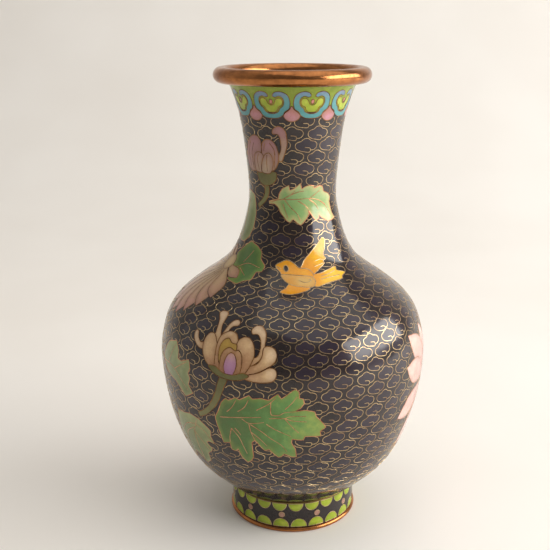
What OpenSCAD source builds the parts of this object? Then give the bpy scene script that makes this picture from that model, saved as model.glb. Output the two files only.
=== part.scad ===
// Cloisonne vase: copper shells with a gilt rim and foot, and coloured enamel cells
// laid between thin brass wires on a black ground.
// Millimetres, +Z up, origin at the centre of the foot. The main sprays face -Y.

/* [Overall form] */
// Height from the table to the top of the rim
vase_h = 205; // [185:1:225]
// Widest diameter of the belly
belly_d = 119.2; // [108:0.2:128]
// Narrowest diameter of the neck
neck_d = 38.2; // [36:0.2:42]
// Diameter over the rolled rim
rim_d = 67.4; // [64:0.2:72]
// Diameter of the foot wall
foot_d = 57.2; // [54:0.2:60]
// Height of the foot
foot_h = 15.2; // [13:0.1:18]

/* [Layers] */
// Thickness of the outer enamel
enamel_t = 1; // [0.6:0.1:1.4]
// Thickness of the copper
copper_t = 1.2; // [0.8:0.1:1.6]
// Thickness of the enamel that lines the inside
lining_t = 0.4; // [0.3:0.1:0.8]
// Width of the brass wires between the enamel cells
wire_w = 0.5; // [0.4:0.05:0.6]

/* [Rings] */
// Radius of the rolled rim's section
rim_roll_r = 3.3; // [2.8:0.1:3.8]
// Radius of the foot ring's section
foot_roll_r = 1.1; // [0.9:0.1:1.4]
// Height of the gilt line between foot and belly
joint_ring_h = 0.9; // [0.6:0.1:1.4]

/* [Borders] */
// Number of cloud heads in the collar under the rim
collar_count = 9; // [8:1:9]
// Number of scallops hanging from the top of the foot
hanging_count = 24; // [20:1:26]
// Number of scallops rising from the bottom of the foot, one dot to every two
rising_count = 22; // [20:2:24]

/* [Hidden] */
$fn = 120;

neck_r = neck_d / 2;
belly_r = belly_d / 2;
foot_r = foot_d / 2;
rim_r = rim_d / 2 - rim_roll_r;
rim_z = vase_h - rim_roll_r;
belly_z = 0.39 * vase_h;
waist_z = 0.76 * vase_h;
foot_ring_top = 1.87 * foot_roll_r;
shoulder_seam_z = 0.55 * vase_h;

// Where the black ground of the belly meets that of the neck, where the green collar
// starts, and where the enamel stops under the rim
ground_seam_z = 0.675 * vase_h;
collar_z = 0.9155 * vase_h;
collar_top_z = 0.9717 * vase_h;

// Slivers narrower than twice this are left out between wires and cells
sliver = 0.02;

// ---------- curves ----------

function pick(p, i, closed) =
    closed ? p[(i + len(p)) % len(p)] : p[max(0, min(len(p) - 1, i))];

function chord(a, b) = max(norm(b - a), 0.001);

// Direction of the curve at b, between its neighbours a and c
function heading(a, b, c) = (c - a) / (chord(a, b) + chord(b, c));

function hermite(b, c, mb, mc, t) =
    (2 * t ^ 3 - 3 * t ^ 2 + 1) * b
    + (t ^ 3 - 2 * t ^ 2 + t) * mb
    + (3 * t ^ 2 - 2 * t ^ 3) * c
    + (t ^ 3 - t ^ 2) * mc;

// Smooth curve through the points, with a few straight steps between neighbours
function smooth(p, steps = 2, closed = true) = [
    for (i = [0 : len(p) - (closed ? 1 : 2)])
        let (
            a = pick(p, i - 1, closed),
            b = pick(p, i, closed),
            c = pick(p, i + 1, closed),
            d = pick(p, i + 2, closed),
            span = chord(b, c)
        )
        for (k = [0 : steps - 1])
            hermite(b, c, span * heading(a, b, c), span * heading(b, c, d), k / steps),
    if (!closed) p[len(p) - 1]
];

// Closed outline of a ribbon that follows a path and tapers from one width to the other
function ribbon(path, w_start, w_end, steps = 2) =
    let (
        p = smooth(path, steps, false),
        n = len(p) - 1,
        side = [
            for (i = [0 : n])
                let (d = p[min(n, i + 1)] - p[max(0, i - 1)])
                [-d.y, d.x] / norm(d) * (w_start + (w_end - w_start) * i / n) / 2
        ]
    )
    concat([for (i = [0 : n]) p[i] + side[i]], [for (i = [n : -1 : 0]) p[i] - side[i]]);

function vein(path) = ribbon(path, 0.6, 0.4, 1);

function oval(x, y, rx, ry, sides = 16) = [
    for (i = [0 : sides - 1]) [x + rx * cos(360 * i / sides), y + ry * sin(360 * i / sides)]
];

// Round-ended petal from the origin, along a direction, widest near its end
function petal(length, width, turn, steps = 4) = [
    for (i = [0 : 2 * steps - 1])
        let (
            t = i <= steps ? i / steps : 2 - i / steps,
            half = (i <= steps ? -0.5 : 0.5) * width * sin(180 * t ^ 1.6)
        )
        length * t * [cos(turn), sin(turn)] + half * [-sin(turn), cos(turn)]
];

// Whole outline from its right half, listed from bottom centre round to top centre
function both_sides(half) =
    concat(half, [for (i = [len(half) - 2 : -1 : 1]) [-half[i].x, half[i].y]]);

// ---------- the vase's own surface ----------

// A point between foot and belly, as fractions of the way out and up
function low(out, up) = [
    foot_r + 0.6 + (belly_r - foot_r - 0.6) * out,
    foot_h + (belly_z - foot_h) * up
];

// A point between belly and neck, as fractions of the way out and up
function high(out, up) = [neck_r + (belly_r - neck_r) * out, belly_z + (waist_z - belly_z) * up];

// A point between neck and rim, as fractions of the way out and up
function flare(out, up) = [neck_r + (rim_r - 0.8 - neck_r) * out, waist_z + (rim_z - waist_z) * up];

body_points = [
    low(0, 0), low(0.2, 0.074), low(0.612, 0.29), low(0.886, 0.615), low(1, 1),
    high(0.94, 0.2), high(0.82, 0.316), high(0.596, 0.42), high(0.384, 0.5), high(0.214, 0.58),
    high(0.097, 0.7), high(0.01, 0.88), high(0, 1),
    flare(0.15, 0.35), flare(0.335, 0.62), flare(0.63, 0.855), flare(1, 1)
];

foot_points = [[foot_r, 0.2], [foot_r, foot_h]];

// Tables along a profile's length: radius, height, outward normal, and length by height
function tables(points, steps) =
    let (
        p = smooth(points, steps, false),
        n = len(p) - 1,
        s = [for (i = 0, t = 0; i <= n; i = i + 1, t = t + (i <= n ? norm(p[i] - p[i - 1]) : 0)) t],
        q = [
            for (i = [0 : n])
                let (d = p[min(n, i + 1)] - p[max(0, i - 1)])
                [d.y, -d.x] / norm(d)
        ]
    )
    [
        [for (i = [0 : n]) [s[i], p[i].x]],
        [for (i = [0 : n]) [s[i], p[i].y]],
        [for (i = [0 : n]) [s[i], q[i].x]],
        [for (i = [0 : n]) [s[i], q[i].y]],
        [for (i = [0 : n]) [p[i].y, s[i]]]
    ];

body = tables(body_points, 3);
foot = tables(foot_points, 1);

function length_at(t, z) = lookup(z, t[4]);

// Point on the profile at length s and the given depth below the surface
function point_at(t, s, depth) = [
    lookup(s, t[0]) - depth * lookup(s, t[2]),
    lookup(s, t[1]) - depth * lookup(s, t[3])
];

// Section of a layer between two heights and two depths below the surface
module section(t, z0, z1, d0, d1) {
    s0 = length_at(t, z0);
    s1 = length_at(t, z1);
    stations = concat([s0], [for (e = t[0]) if (e[0] > s0 + 0.2 && e[0] < s1 - 0.2) e[0]], [s1]);
    back = [for (i = [len(stations) - 1 : -1 : 0]) stations[i]];
    polygon(concat([for (s = stations) point_at(t, s, d0)], [for (s = back) point_at(t, s, d1)]));
}

module layer(t, z0, z1, d0, d1) rotate_extrude() section(t, z0, z1, d0, d1);

// Stretch of the outer enamel's layer
module enamel(t, z0, z1) layer(t, z0, z1, 0, enamel_t);

// ---------- decoration on the skin ----------

// An anchor: the surface it lies on, its azimuth from -Y, and the profile there
function anchor(t, az, z) =
    let (s = length_at(t, z))
    [t, az, s, lookup(s, t[0]), lookup(s, t[1]), lookup(s, t[2]), lookup(s, t[3])];

// Where a point given in millimetres along the skin, right and up from the anchor,
// falls on the plane that touches the skin there
function flat(a, p) =
    let (
        s = a[2] + p.y,
        r = lookup(s, a[0][0]),
        turn = p.x / r * 180 / PI,
        out = r * cos(turn) - a[3],
        rise = lookup(s, a[0][1]) - a[4]
    )
    [r * sin(turn), a[5] * rise - a[6] * out];

module cell(a, points) polygon([for (p = points) flat(a, p)]);

// Stands a flat drawing on the skin at the anchor, reaching through the enamel
module on_skin(a) {
    deep = 0.7 * a[3];
    lift = 6;
    rotate([0, 0, a[1]])
        translate([0, -a[3], a[4]])
            rotate([atan2(a[5], a[6]), 0, 0])
                translate([0, 0, -deep])
                    linear_extrude(deep + lift)
                        children();
}

// Drops slivers too thin to be wire or enamel
module tidy() offset(delta = sliver) offset(delta = -sliver) children();

// The chosen outlines, each cut back by those in front of it and by half a wire
module cells(a, outlines, chosen)
    for (i = chosen)
        offset(delta = -wire_w / 2)
            difference() {
                cell(a, outlines[i]);
                for (j = [i + 1 : 1 : len(outlines) - 1]) cell(a, outlines[j]);
            }

module pocket(a, outlines)
    offset(delta = wire_w / 2)
        for (o = outlines) cell(a, o);

module wires(a, outlines)
    tidy()
        difference() {
            pocket(a, outlines);
            cells(a, outlines, [0 : len(outlines) - 1]);
        }

// A leaf's enamel, parted by its veins
module leaf_cells(a, leaf, veins)
    tidy()
        difference() {
            offset(delta = -wire_w / 2) cell(a, leaf);
            for (v = veins) cell(a, v);
        }

module leaf_wires(a, leaf, veins)
    tidy()
        difference() {
            pocket(a, [leaf]);
            leaf_cells(a, leaf, veins);
        }

// ---------- outlines, in millimetres along the skin from each anchor ----------

// Chrysanthemum from back to front: stem, curled petals, broad petals, lobes of the bowl,
// heart, the small petals before it, and the base
MUM = [
    ribbon([[-1.5, -4], [-3.4, -8.5], [-4.8, -12.5], [-7.6, -17.8], [-12, -22.6], [-16.5, -25.4]], 3.8, 2.2),
    smooth([[-13, 5], [-16, 4.5], [-19, 6.5], [-20.3, 9.5], [-19.3, 11.3], [-18, 10.8], [-17.5, 9],
            [-15.5, 7], [-13, 7.5]]),
    smooth([[-8.5, 9], [-8.8, 14], [-9, 18], [-10.3, 21], [-9, 22.4], [-6.3, 22], [-6, 20], [-6.6, 17],
            [-6.2, 13], [-5.5, 9]]),
    smooth([[-5.5, 11], [-4.2, 15.5], [-2.5, 18.5], [-0.5, 19.6], [1, 18.5], [0.6, 17], [-1.5, 16.3],
            [-2.8, 14], [-2, 11]]),
    smooth([[8.5, 1], [12, 3], [13.8, 6], [14, 10.5], [13.2, 15], [10.5, 18], [8, 17.8], [7, 16],
            [7.8, 14.2], [10, 14.2], [11.8, 12], [12.4, 9], [11.8, 5.5], [9, 4]]),
    smooth([[13.8, 9], [15.5, 9.8], [18, 9], [19.6, 6.5], [19, 3.5], [16, 1], [12, -1.2], [8, -2.5],
            [8, 0.5], [12, 2.5], [13.6, 5.5]]),
    smooth([[8, -2.5], [13, -1], [17, 1.2], [19.5, 0.8], [20.4, -1.5], [19, -4], [15, -4.9],
            [10, -4.8], [6, -3.5]]),
    smooth([[-7, -2], [-11, -0.5], [-13.3, 2.5], [-14, 6], [-13.3, 9.5], [-11.5, 11.7], [-9.5, 12],
            [-8, 10.5], [-6, 6], [-5, 1]]),
    smooth([[-6.5, -2], [-7, 4], [-6.7, 8.5], [-5.5, 12], [-2, 14.2], [1, 13.5], [2.2, 11.5], [3, 9],
            [3, 5], [0, 0], [-3, -2]]),
    smooth([[2.2, 9], [3, 11.5], [5, 12.7], [7.5, 12.2], [9.6, 9.5], [10.5, 6], [9.8, 3], [8.5, 0],
            [7, -2], [4, -2.5], [3, 3]]),
    smooth([[-5.2, 2], [-5.3, 7], [-3.8, 10.2], [-1.8, 11.2], [0, 9.6], [2.4, 9], [2, 5], [-1, 2],
            [-4, 0]]),
    smooth([[-4, -2.5], [-4.2, 3], [-3, 6], [-0.5, 7.6], [2, 6.6], [3.6, 7], [5.2, 5], [5.6, 1.5],
            [5, -2], [2, -4]]),
    smooth([[-2.4, -1], [-2.1, 2], [-1, 4.6], [0.6, 5.6], [2.2, 4.8], [3.2, 2], [3, -1], [1.5, -3.5],
            [-1, -3.5]]),
    smooth([[-10, -1.5], [-6.5, -1], [-2.5, -3], [2, -3.2], [6.5, -1.8], [9, -2.8], [7, -4.3],
            [3, -5.4], [-3, -5.2], [-7.5, -3.8]])
];
MUM_STEM = [0];
MUM_PETALS = [1, 2, 3, 4, 5, 6, 7, 8, 9, 11];
MUM_HEART = [10];
MUM_BASE = [12, 13];

BELLY_LEAF = [
    [-24, 0], [-21.5, 6], [-18, 11.5], [-15, 10.5], [-12, 13.2], [-7, 14.3], [-3, 14], [1.5, 14],
    [4.5, 17], [6, 14.2], [9, 17], [11.5, 18.6], [13.3, 16.5], [13.2, 14], [15.2, 12.8], [13.5, 9.8],
    [17, 9.2], [20.3, 7.5], [21.5, 4], [23.8, 0.3], [21, -1.2], [20.8, -3.6], [15.5, -3.2],
    [14.2, -5.4], [10, -4.3], [10, -8], [11.5, -13.8], [8.5, -13.6], [6.2, -12], [4.8, -14.8],
    [1, -11], [-2.5, -11.6], [-6.2, -6.5], [-7, -12], [-7, -17.5], [-10, -19], [-12.5, -14],
    [-16, -14], [-17.5, -9.6], [-20.3, -10], [-22, -5]
];
BELLY_VEINS = [
    vein([[-23.5, 0], [-12, 2.5], [0, 5], [10, 5], [20, 3]]),
    vein([[-4, 4.3], [-1, 8], [3, 12.5]]),
    vein([[3, 5.2], [7, 9], [10.5, 15]]),
    vein([[6.5, 5.2], [9, 2], [13, -2.2]]),
    vein([[-6, 3.8], [1, 1.5], [6.5, -3], [9, -11]]),
    vein([[-9, 3.2], [-5, -2], [0, -7], [3.5, -11.5]]),
    vein([[-13, 2.3], [-11, -3], [-9.3, -16]]),
    vein([[-16, 1.8], [-16.5, -4], [-18, -8]])
];

NECK_LEAF = [
    [-15.5, 0], [-12, 2.3], [-11, 5], [-8.2, 8], [-6.5, 6], [-3, 9], [-1.8, 6.8], [1.5, 8], [5, 7],
    [8, 6.7], [8.6, 3.8], [12, 3.2], [13.8, 0.8], [12.8, -1.2], [14, -4], [15, -7.6], [10, -9.4],
    [6, -7], [3, -7.2], [0.8, -5], [-0.6, -7], [-2.8, -9.8], [-6.4, -6], [-8.2, -8.5], [-10, -5.5],
    [-12.5, -1.6]
];
NECK_VEINS = [
    vein([[-15, 0], [-8, 1.5], [-2, 1], [6, 0], [12, -1]]),
    vein([[-7, 1.6], [-4, 4], [-2.5, 7.5]]),
    vein([[-1, 1], [3, 3], [6, 6]]),
    vein([[-6, 1.3], [-3, -3], [-2.5, -8]]),
    vein([[-1, 0.8], [2, -2.5], [4.5, -6.5]]),
    vein([[3, 0.4], [7, -3], [12, -7]])
];

// Bud from back to front: stem, calyx, hooked petal, then the four petals of the bud
BUD = [
    ribbon([[0.5, -8], [0.5, -12], [-0.9, -15.2], [-4.2, -18.4]], 2.4, 2),
    smooth([[-4.5, -3.4], [0, -3], [5.2, -3.2], [5.3, -6], [3.8, -8], [1.2, -9.2], [-1.5, -9],
            [-3.8, -7]]),
    smooth([[6.5, 2.5], [8, 6], [8.3, 10], [7.5, 12.7], [5.2, 13.2], [5.5, 15], [8, 16.4], [10.3, 15],
            [11, 12], [10.8, 8], [9.3, 4], [8, 1.5]]),
    smooth([[-5, -3], [-9, -3.5], [-12, -1], [-12, 4], [-10, 8.5], [-6.5, 11.5], [-3, 11.8],
            [-1, 9.5], [-1.5, 4]]),
    smooth([[-2, -3], [-1, 4], [-0.5, 8.5], [1.5, 10.5], [4, 10.5], [6.2, 8], [7, 4], [6.5, 1],
            [5, -1.8], [2, -3.5]]),
    smooth([[-5, -3.5], [-6, 0], [-5.5, 3.5], [-3, 5], [-1, 4.5], [0.5, 2], [0, -3]]),
    smooth([[-1.5, -3.5], [-1.5, 0], [0.5, 4], [2.8, 4.8], [4.2, 2.5], [4, -1], [2.5, -3.8]])
];
BUD_CALYX = [0, 1];
BUD_PETALS = [2, 3, 4, 5, 6];

// Bird from back to front: raised wing, tail, lower wing, head and back, breast, eye
BIRD = [
    smooth([[-2, 2], [-0.8, 4], [0.5, 6.5], [4, 10], [7, 13], [9.3, 15.2], [10.6, 14], [10, 10.5],
            [9.3, 8], [10.2, 6.2], [8.8, 5.4], [9.2, 4.2], [7, 2.4], [5.5, 1], [3, -0.6], [0, 0]]),
    smooth([[2, -1], [7, 0], [11, 1.2], [14.8, 2], [15, 0.2], [19.5, -1.8], [17.3, -3.2], [17, -4.4],
            [13, -4.9], [8.5, -5.6], [4, -6.8], [2, -4]]),
    smooth([[-6.5, -4.5], [-9, -7], [-11.6, -9.2], [-8, -10.2], [-4, -9.6], [1, -7.6], [0, -5.5]]),
    smooth([[-12, 3.7], [-9.5, 5.4], [-7, 6.4], [-4.5, 5.4], [-2, 3], [1, 2.5], [3, 1], [3.5, -1.5],
            [-2, -1.5], [-9.5, -0.8], [-10.3, 1]]),
    smooth([[-10, -0.4], [-5, -0.3], [-1, -0.7], [2.8, -1.6], [4, -4], [2.5, -6.6], [-3, -6.2],
            [-7, -5], [-9, -3]]),
    oval(-7.6, 2.7, 1, 1.4, 12)
];
BIRD_PLUMAGE = [0, 1, 2, 3];
BIRD_BREAST = [4];
BIRD_EYE = [5];

// Leaves of the sides: two lobed ones, a slim one on the neck, one behind a shoulder flower
UPPER_LEAF = [
    [-9, 5], [-6.1, 10], [-3.2, 13.2], [3.9, 15.5], [7.2, 12.1], [7.3, 8.5], [10.7, 8.3], [15.4, 10.5],
    [16.8, 7], [15.5, 4.5], [16.9, 2.6], [15.5, -0.5], [18.1, -3.9], [12.5, -7.1], [9.1, -4.5],
    [5.1, -2.2], [0.5, -1.5], [-5, 0]
];
UPPER_VEINS = [
    vein([[-7, 3.5], [4, 3.5], [15, -3.5]]), vein([[-2, 3.8], [4, 14]]), vein([[5, 3.4], [14, 9]])
];
LOWER_LEAF = [
    [-10.7, 11.2], [-5, 11.8], [1, 13.4], [6.9, 12.6], [9.6, 11], [13, 8.6], [12, 5.5], [13.1, 1.9],
    [9.8, 2.3], [8.2, 1.2], [10.5, -1.5], [9.4, -3.3], [6.5, -5.5], [6, -10], [1.3, -13.7],
    [-0.6, -10.9], [-5.2, -9], [-7, -14], [-11, -12], [-11, -5], [-15, -2], [-13, 4]
];
LOWER_VEINS = [
    vein([[5, 11.5], [1, 3], [1, -11]]), vein([[4, 9], [9, 7], [12, 3]]), vein([[1, 5], [5, 1], [8.5, -3]]),
    vein([[1.5, 6.5], [-6, 1], [-9, -10]]), vein([[3, 9], [-4, 6.5], [-12, -1]])
];
SLIM_LEAF = [
    [-1.5, 13.6], [2.4, 12.4], [4, 8.5], [5.2, 4], [5.4, -2], [4, -6.2], [1.2, -8.8], [-3, -9],
    [-7, -7], [-10, -2], [-9.5, 3], [-11, 7], [-7, 9.5], [-6, 13]
];
SLIM_VEINS = [vein([[-3, -7.5], [-3.5, 0], [-2, 10]])];
SHOULDER_LEAF = [
    [-4.7, 5.9], [0.1, 10.8], [2.9, 12.7], [7.2, 11.2], [10.3, 9], [11.3, 5.9], [14.9, 3.1], [15.4, 0.2],
    [12.8, -0.2], [13.9, -4.5], [10.9, -5.8], [9, -8], [2, -7], [-3, -1]
];
SHOULDER_VEINS = [vein([[1, 0], [6, 3], [13, 2]]), vein([[3, 3], [6, 9]]), vein([[3.5, 0], [9, -3]])];

// Open flower: petals at [direction, length], each tucked under the next, and a disc
function flower(petals, fullness, disc) = concat(
    [for (p = petals) petal(p[1], fullness * p[1], p[0])],
    [oval(0, 0, disc, disc, 12)]
);
SIDE_FLOWER = flower(
    [
        [108, 27.5], [134, 34.5], [158, 32], [200, 33], [238, 36],
        for (i = [0 : 6]) [270 + 27.5 * i, 33]
    ],
    0.36, 6
);

// The shoulder flower droops: its lower petals are the longest
SHOULDER_FLOWER = flower(
    [
        [112, 9], [150, 16], [176, 22], [-166, 29], [-150, 34], [-134, 36], [-119, 36], [-105, 35],
        [-93, 33], [-81, 30], [-68, 27], [-55, 23], [-22, 15]
    ], 0.34, 4
);

// Collar: a head with its heart and bead, and the petal between two heads
HEAD = both_sides([
    [0, -4.3], [3.6, -3.6], [6.4, -1.4], [7.6, 1.8], [7.1, 5], [4.8, 6.9], [2, 6.3],
    [1, 4.3], [2, 3.6], [3.6, 4.8], [5.4, 4.2], [5.5, 2], [3.2, -1.1], [0, -2.3]
]);
HEART = both_sides([[0, -1.6], [2.4, -0.8], [4.2, 1], [4.6, 2.7], [3.5, 3.4], [2.3, 2.4], [0, 0.4]]);
BEAD = oval(0, 2.4, 0.7, 1, 8);
COLLAR_PETAL = both_sides([[0, -5.7], [2.8, -5], [3.6, -3.4], [2.5, -2.2], [0.9, -0.8], [0, 0.6]]);

// Foot border: half an ellipse, hanging where the rise is negative
function scallop(width, rise, steps = 6) = [
    for (i = [0 : steps]) [width / 2 * cos(180 * i / steps), rise * sin(180 * i / steps)]
];
HANGING = scallop(2 * PI * foot_r / hanging_count - 0.95, -3.6);
RISING = scallop(2 * PI * foot_r / rising_count - 0.95, 4);
DOT = oval(0, 0, 1.3, 1.3, 8);

// ---------- where each decoration lies ----------

MUM_AT = anchor(body, -26, 0.44 * vase_h);
BELLY_LEAVES = [anchor(body, -10, 0.317 * vase_h), anchor(body, 150, 0.26 * vase_h)];
SIDE_FLOWERS = [anchor(body, 83, 0.342 * vase_h), anchor(body, 222, 0.34 * vase_h)];
SHOULDER_AT = anchor(body, -69, 0.597 * vase_h);
BUD_AT = anchor(body, -36, 0.81 * vase_h);
NECK_LEAVES = [anchor(body, 18, 0.7317 * vase_h), anchor(body, 192, 0.7317 * vase_h)];
BIRD_AT = anchor(body, 10, 0.595 * vase_h);

// Leaves of the sides: anchor, outline and veins
SIDE_LEAVES = [
    [anchor(body, -62, 0.38 * vase_h), UPPER_LEAF, UPPER_VEINS],
    [anchor(body, -50, 0.244 * vase_h), LOWER_LEAF, LOWER_VEINS],
    [anchor(body, -66, 0.683 * vase_h), SLIM_LEAF, SLIM_VEINS],
    [anchor(body, -86, 0.235 * vase_h), LOWER_LEAF, LOWER_VEINS]
];
SHOULDER_LEAF_AT = anchor(body, -56, 0.595 * vase_h);

collar_level = 0.927 * vase_h;
HEADS_AT = [
    for (i = [0 : collar_count - 1]) anchor(body, 360 / collar_count * (i + 0.48), collar_level)
];
BETWEEN_AT = [
    for (i = [0 : collar_count - 1]) anchor(body, 360 / collar_count * (i - 0.02), collar_level)
];

hanging_z = foot_h - joint_ring_h - 0.4;
rising_z = foot_ring_top + 0.4;
dot_z = 0.553 * foot_h;
HANGING_AT = [
    for (i = [0 : hanging_count - 1]) anchor(foot, 360 / hanging_count * (i + 0.2), hanging_z)
];
RISING_AT = [
    for (i = [0 : rising_count - 1]) anchor(foot, 360 / rising_count * (i + 0.35), rising_z)
];
DOTS_AT = [
    for (i = [0 : rising_count / 2 - 1]) anchor(foot, 720 / rising_count * (i - 0.3), dot_z)
];

// ---------- metal ----------

module copper(z0, z1) color("peru") layer(body, z0, z1, enamel_t, enamel_t + copper_t);

module neck_shell() copper(shoulder_seam_z, rim_z);

module upper_belly_shell() copper(belly_z, shoulder_seam_z);

// The lower half of the belly, with the floor of the vase
module lower_belly_shell() {
    edge_out = point_at(body, 0, enamel_t);
    edge_in = point_at(body, 0, enamel_t + copper_t);
    copper(foot_h, belly_z);
    color("peru")
        rotate_extrude()
            polygon([
                [0, foot_h - copper_t], [foot_r - enamel_t, foot_h - copper_t],
                [foot_r - enamel_t, foot_h], edge_out, edge_in, [edge_in.x - 3, foot_h], [0, foot_h]
            ]);
}

module foot_shell()
    color("peru")
        layer(foot, 0.2, foot_h - copper_t, enamel_t, enamel_t + copper_t);

// Rolled rim, grooved for the top edges of the neck and its enamel
module rim_ring()
    color("goldenrod")
        rotate_extrude()
            difference() {
                translate([rim_r, rim_z]) circle(rim_roll_r);
                section(body, collar_top_z - 2, rim_z, enamel_t, enamel_t + copper_t);
                section(body, collar_top_z - 2, collar_top_z, 0, enamel_t);
            }

// Gilt line that hides the joint between belly and foot
module foot_joint_ring()
    color("goldenrod")
        difference() {
            translate([0, 0, foot_h - joint_ring_h]) cylinder(r = foot_r + 0.75, h = joint_ring_h);
            translate([0, 0, foot_h - 2 * joint_ring_h])
                cylinder(r = foot_r - enamel_t, h = 3 * joint_ring_h);
        }

// Rounded foot ring around the bottom of the foot, with a narrow flat land to stand on
module foot_ring()
    color("goldenrod")
        rotate_extrude()
            difference() {
                translate([foot_r - 0.2, foot_ring_top - foot_roll_r]) circle(foot_roll_r);
                translate([0, -foot_roll_r]) square([2 * foot_r, foot_roll_r]);
                square([foot_r - enamel_t, 2 * foot_ring_top]);
            }

// ---------- plain enamels ----------

lining_d0 = enamel_t + copper_t;
lining_d1 = lining_d0 + lining_t;

module neck_lining() color("steelblue") layer(body, shoulder_seam_z, collar_top_z, lining_d0, lining_d1);

// Lining of the belly and of the floor inside it
module belly_lining() {
    edge_out = point_at(body, 0, lining_d0);
    edge_in = point_at(body, 0, lining_d1);
    color("steelblue") {
        layer(body, foot_h, shoulder_seam_z, lining_d0, lining_d1);
        rotate_extrude()
            polygon([
                [0, foot_h], [edge_out.x - 3, foot_h], edge_out, edge_in,
                [edge_out.x - 3, foot_h + lining_t], [0, foot_h + lining_t]
            ]);
    }
}

// Enamel under the floor, inside the foot
module base_enamel()
    color("steelblue")
        translate([0, 0, foot_h - copper_t - lining_t])
            cylinder(r = foot_r - lining_d0, h = lining_t);

module side_leaf_pockets() for (l = SIDE_LEAVES) on_skin(l[0]) pocket(l[0], [l[1]]);

module shoulder_flower_pocket() on_skin(SHOULDER_AT) pocket(SHOULDER_AT, SHOULDER_FLOWER);

module neck_ground()
    color("black")
        difference() {
            enamel(body, ground_seam_z, collar_z);
            on_skin(BUD_AT) pocket(BUD_AT, BUD);
            side_leaf_pockets();
            for (a = NECK_LEAVES) on_skin(a) pocket(a, [NECK_LEAF]);
            for (a = HEADS_AT) on_skin(a) pocket(a, [HEAD]);
            for (a = BETWEEN_AT) on_skin(a) pocket(a, [COLLAR_PETAL]);
        }

module belly_ground()
    color("black")
        difference() {
            enamel(body, foot_h, ground_seam_z);
            on_skin(MUM_AT) pocket(MUM_AT, MUM);
            for (a = BELLY_LEAVES) on_skin(a) pocket(a, [BELLY_LEAF]);
            side_leaf_pockets();
            on_skin(SHOULDER_LEAF_AT) pocket(SHOULDER_LEAF_AT, [SHOULDER_LEAF]);
            for (a = SIDE_FLOWERS) on_skin(a) pocket(a, SIDE_FLOWER);
            shoulder_flower_pocket();
            on_skin(BIRD_AT) pocket(BIRD_AT, BIRD);
        }

module foot_ground()
    color("black")
        difference() {
            enamel(foot, foot_ring_top, foot_h - joint_ring_h);
            for (a = HANGING_AT) on_skin(a) pocket(a, [HANGING]);
            for (a = RISING_AT) on_skin(a) pocket(a, [RISING]);
            for (a = DOTS_AT) on_skin(a) pocket(a, [DOT]);
        }

// ---------- collar ----------

// One outline of the collar or the foot border, repeated at its anchors
module inlays(anchors, outline)
    for (a = anchors) on_skin(a) cells(a, [outline], [0]);

module outlining(anchors, outline)
    for (a = anchors) on_skin(a) wires(a, [outline]);

module in_collar()
    intersection() {
        enamel(body, ground_seam_z, collar_top_z);
        union() children();
    }

module collar_ground()
    color("olivedrab")
        difference() {
            enamel(body, collar_z, collar_top_z);
            for (o = [HEAD, HEART, BEAD]) for (a = HEADS_AT) on_skin(a) pocket(a, [o]);
            for (a = BETWEEN_AT) on_skin(a) pocket(a, [COLLAR_PETAL]);
        }

module collar_heads() color("mediumturquoise") in_collar() inlays(HEADS_AT, HEAD);

module collar_hearts() color("yellowgreen") in_collar() inlays(HEADS_AT, HEART);

module collar_beads() color("indianred") in_collar() inlays(HEADS_AT, BEAD);

module collar_petals() color("pink") in_collar() inlays(BETWEEN_AT, COLLAR_PETAL);

module collar_wires()
    color("gold")
        in_collar() {
            for (o = [HEAD, HEART, BEAD]) outlining(HEADS_AT, o);
            outlining(BETWEEN_AT, COLLAR_PETAL);
        }

// ---------- foot border ----------

module in_foot()
    intersection() {
        enamel(foot, foot_ring_top, foot_h - joint_ring_h);
        union() children();
    }

module hanging_scallops() color("yellowgreen") in_foot() inlays(HANGING_AT, HANGING);

module rising_scallops() color("yellowgreen") in_foot() inlays(RISING_AT, RISING);

module foot_dots() color("pink") in_foot() inlays(DOTS_AT, DOT);

module foot_wires()
    color("gold")
        in_foot() {
            outlining(HANGING_AT, HANGING);
            outlining(RISING_AT, RISING);
            outlining(DOTS_AT, DOT);
        }

// ---------- neck ----------

module in_neck()
    intersection() {
        enamel(body, ground_seam_z, collar_z);
        union() children();
    }

module bud(chosen) in_neck() on_skin(BUD_AT) cells(BUD_AT, BUD, chosen);

module bud_petals() color("rosybrown") bud(BUD_PETALS);

module bud_calyx() color("darkkhaki") bud(BUD_CALYX);

module bud_wires() color("gold") in_neck() on_skin(BUD_AT) wires(BUD_AT, BUD);

module neck_leaves()
    color("lightgreen")
        in_neck() for (a = NECK_LEAVES) on_skin(a) leaf_cells(a, NECK_LEAF, NECK_VEINS);

module neck_leaf_wires()
    color("gold")
        in_neck() for (a = NECK_LEAVES) on_skin(a) leaf_wires(a, NECK_LEAF, NECK_VEINS);

// ---------- belly and shoulder ----------

module in_belly()
    intersection() {
        enamel(body, foot_h, ground_seam_z);
        union() children();
    }

module bird(chosen) in_belly() on_skin(BIRD_AT) cells(BIRD_AT, BIRD, chosen);

module bird_plumage() color("orange") bird(BIRD_PLUMAGE);

module bird_breast() color("moccasin") bird(BIRD_BREAST);

module bird_eye() color("black") bird(BIRD_EYE);

module bird_wires() color("gold") in_belly() on_skin(BIRD_AT) wires(BIRD_AT, BIRD);

module chrysanthemum(chosen) in_belly() on_skin(MUM_AT) cells(MUM_AT, MUM, chosen);

module chrysanthemum_petals() color("wheat") chrysanthemum(MUM_PETALS);

module chrysanthemum_heart() color("gold") chrysanthemum(MUM_HEART);

module chrysanthemum_base() color("rosybrown") chrysanthemum(MUM_BASE);

module chrysanthemum_stem() color("darkkhaki") chrysanthemum(MUM_STEM);

module chrysanthemum_wires() color("gold") in_belly() on_skin(MUM_AT) wires(MUM_AT, MUM);

module belly_leaves()
    color("olivedrab")
        in_belly() for (a = BELLY_LEAVES) on_skin(a) leaf_cells(a, BELLY_LEAF, BELLY_VEINS);

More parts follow.
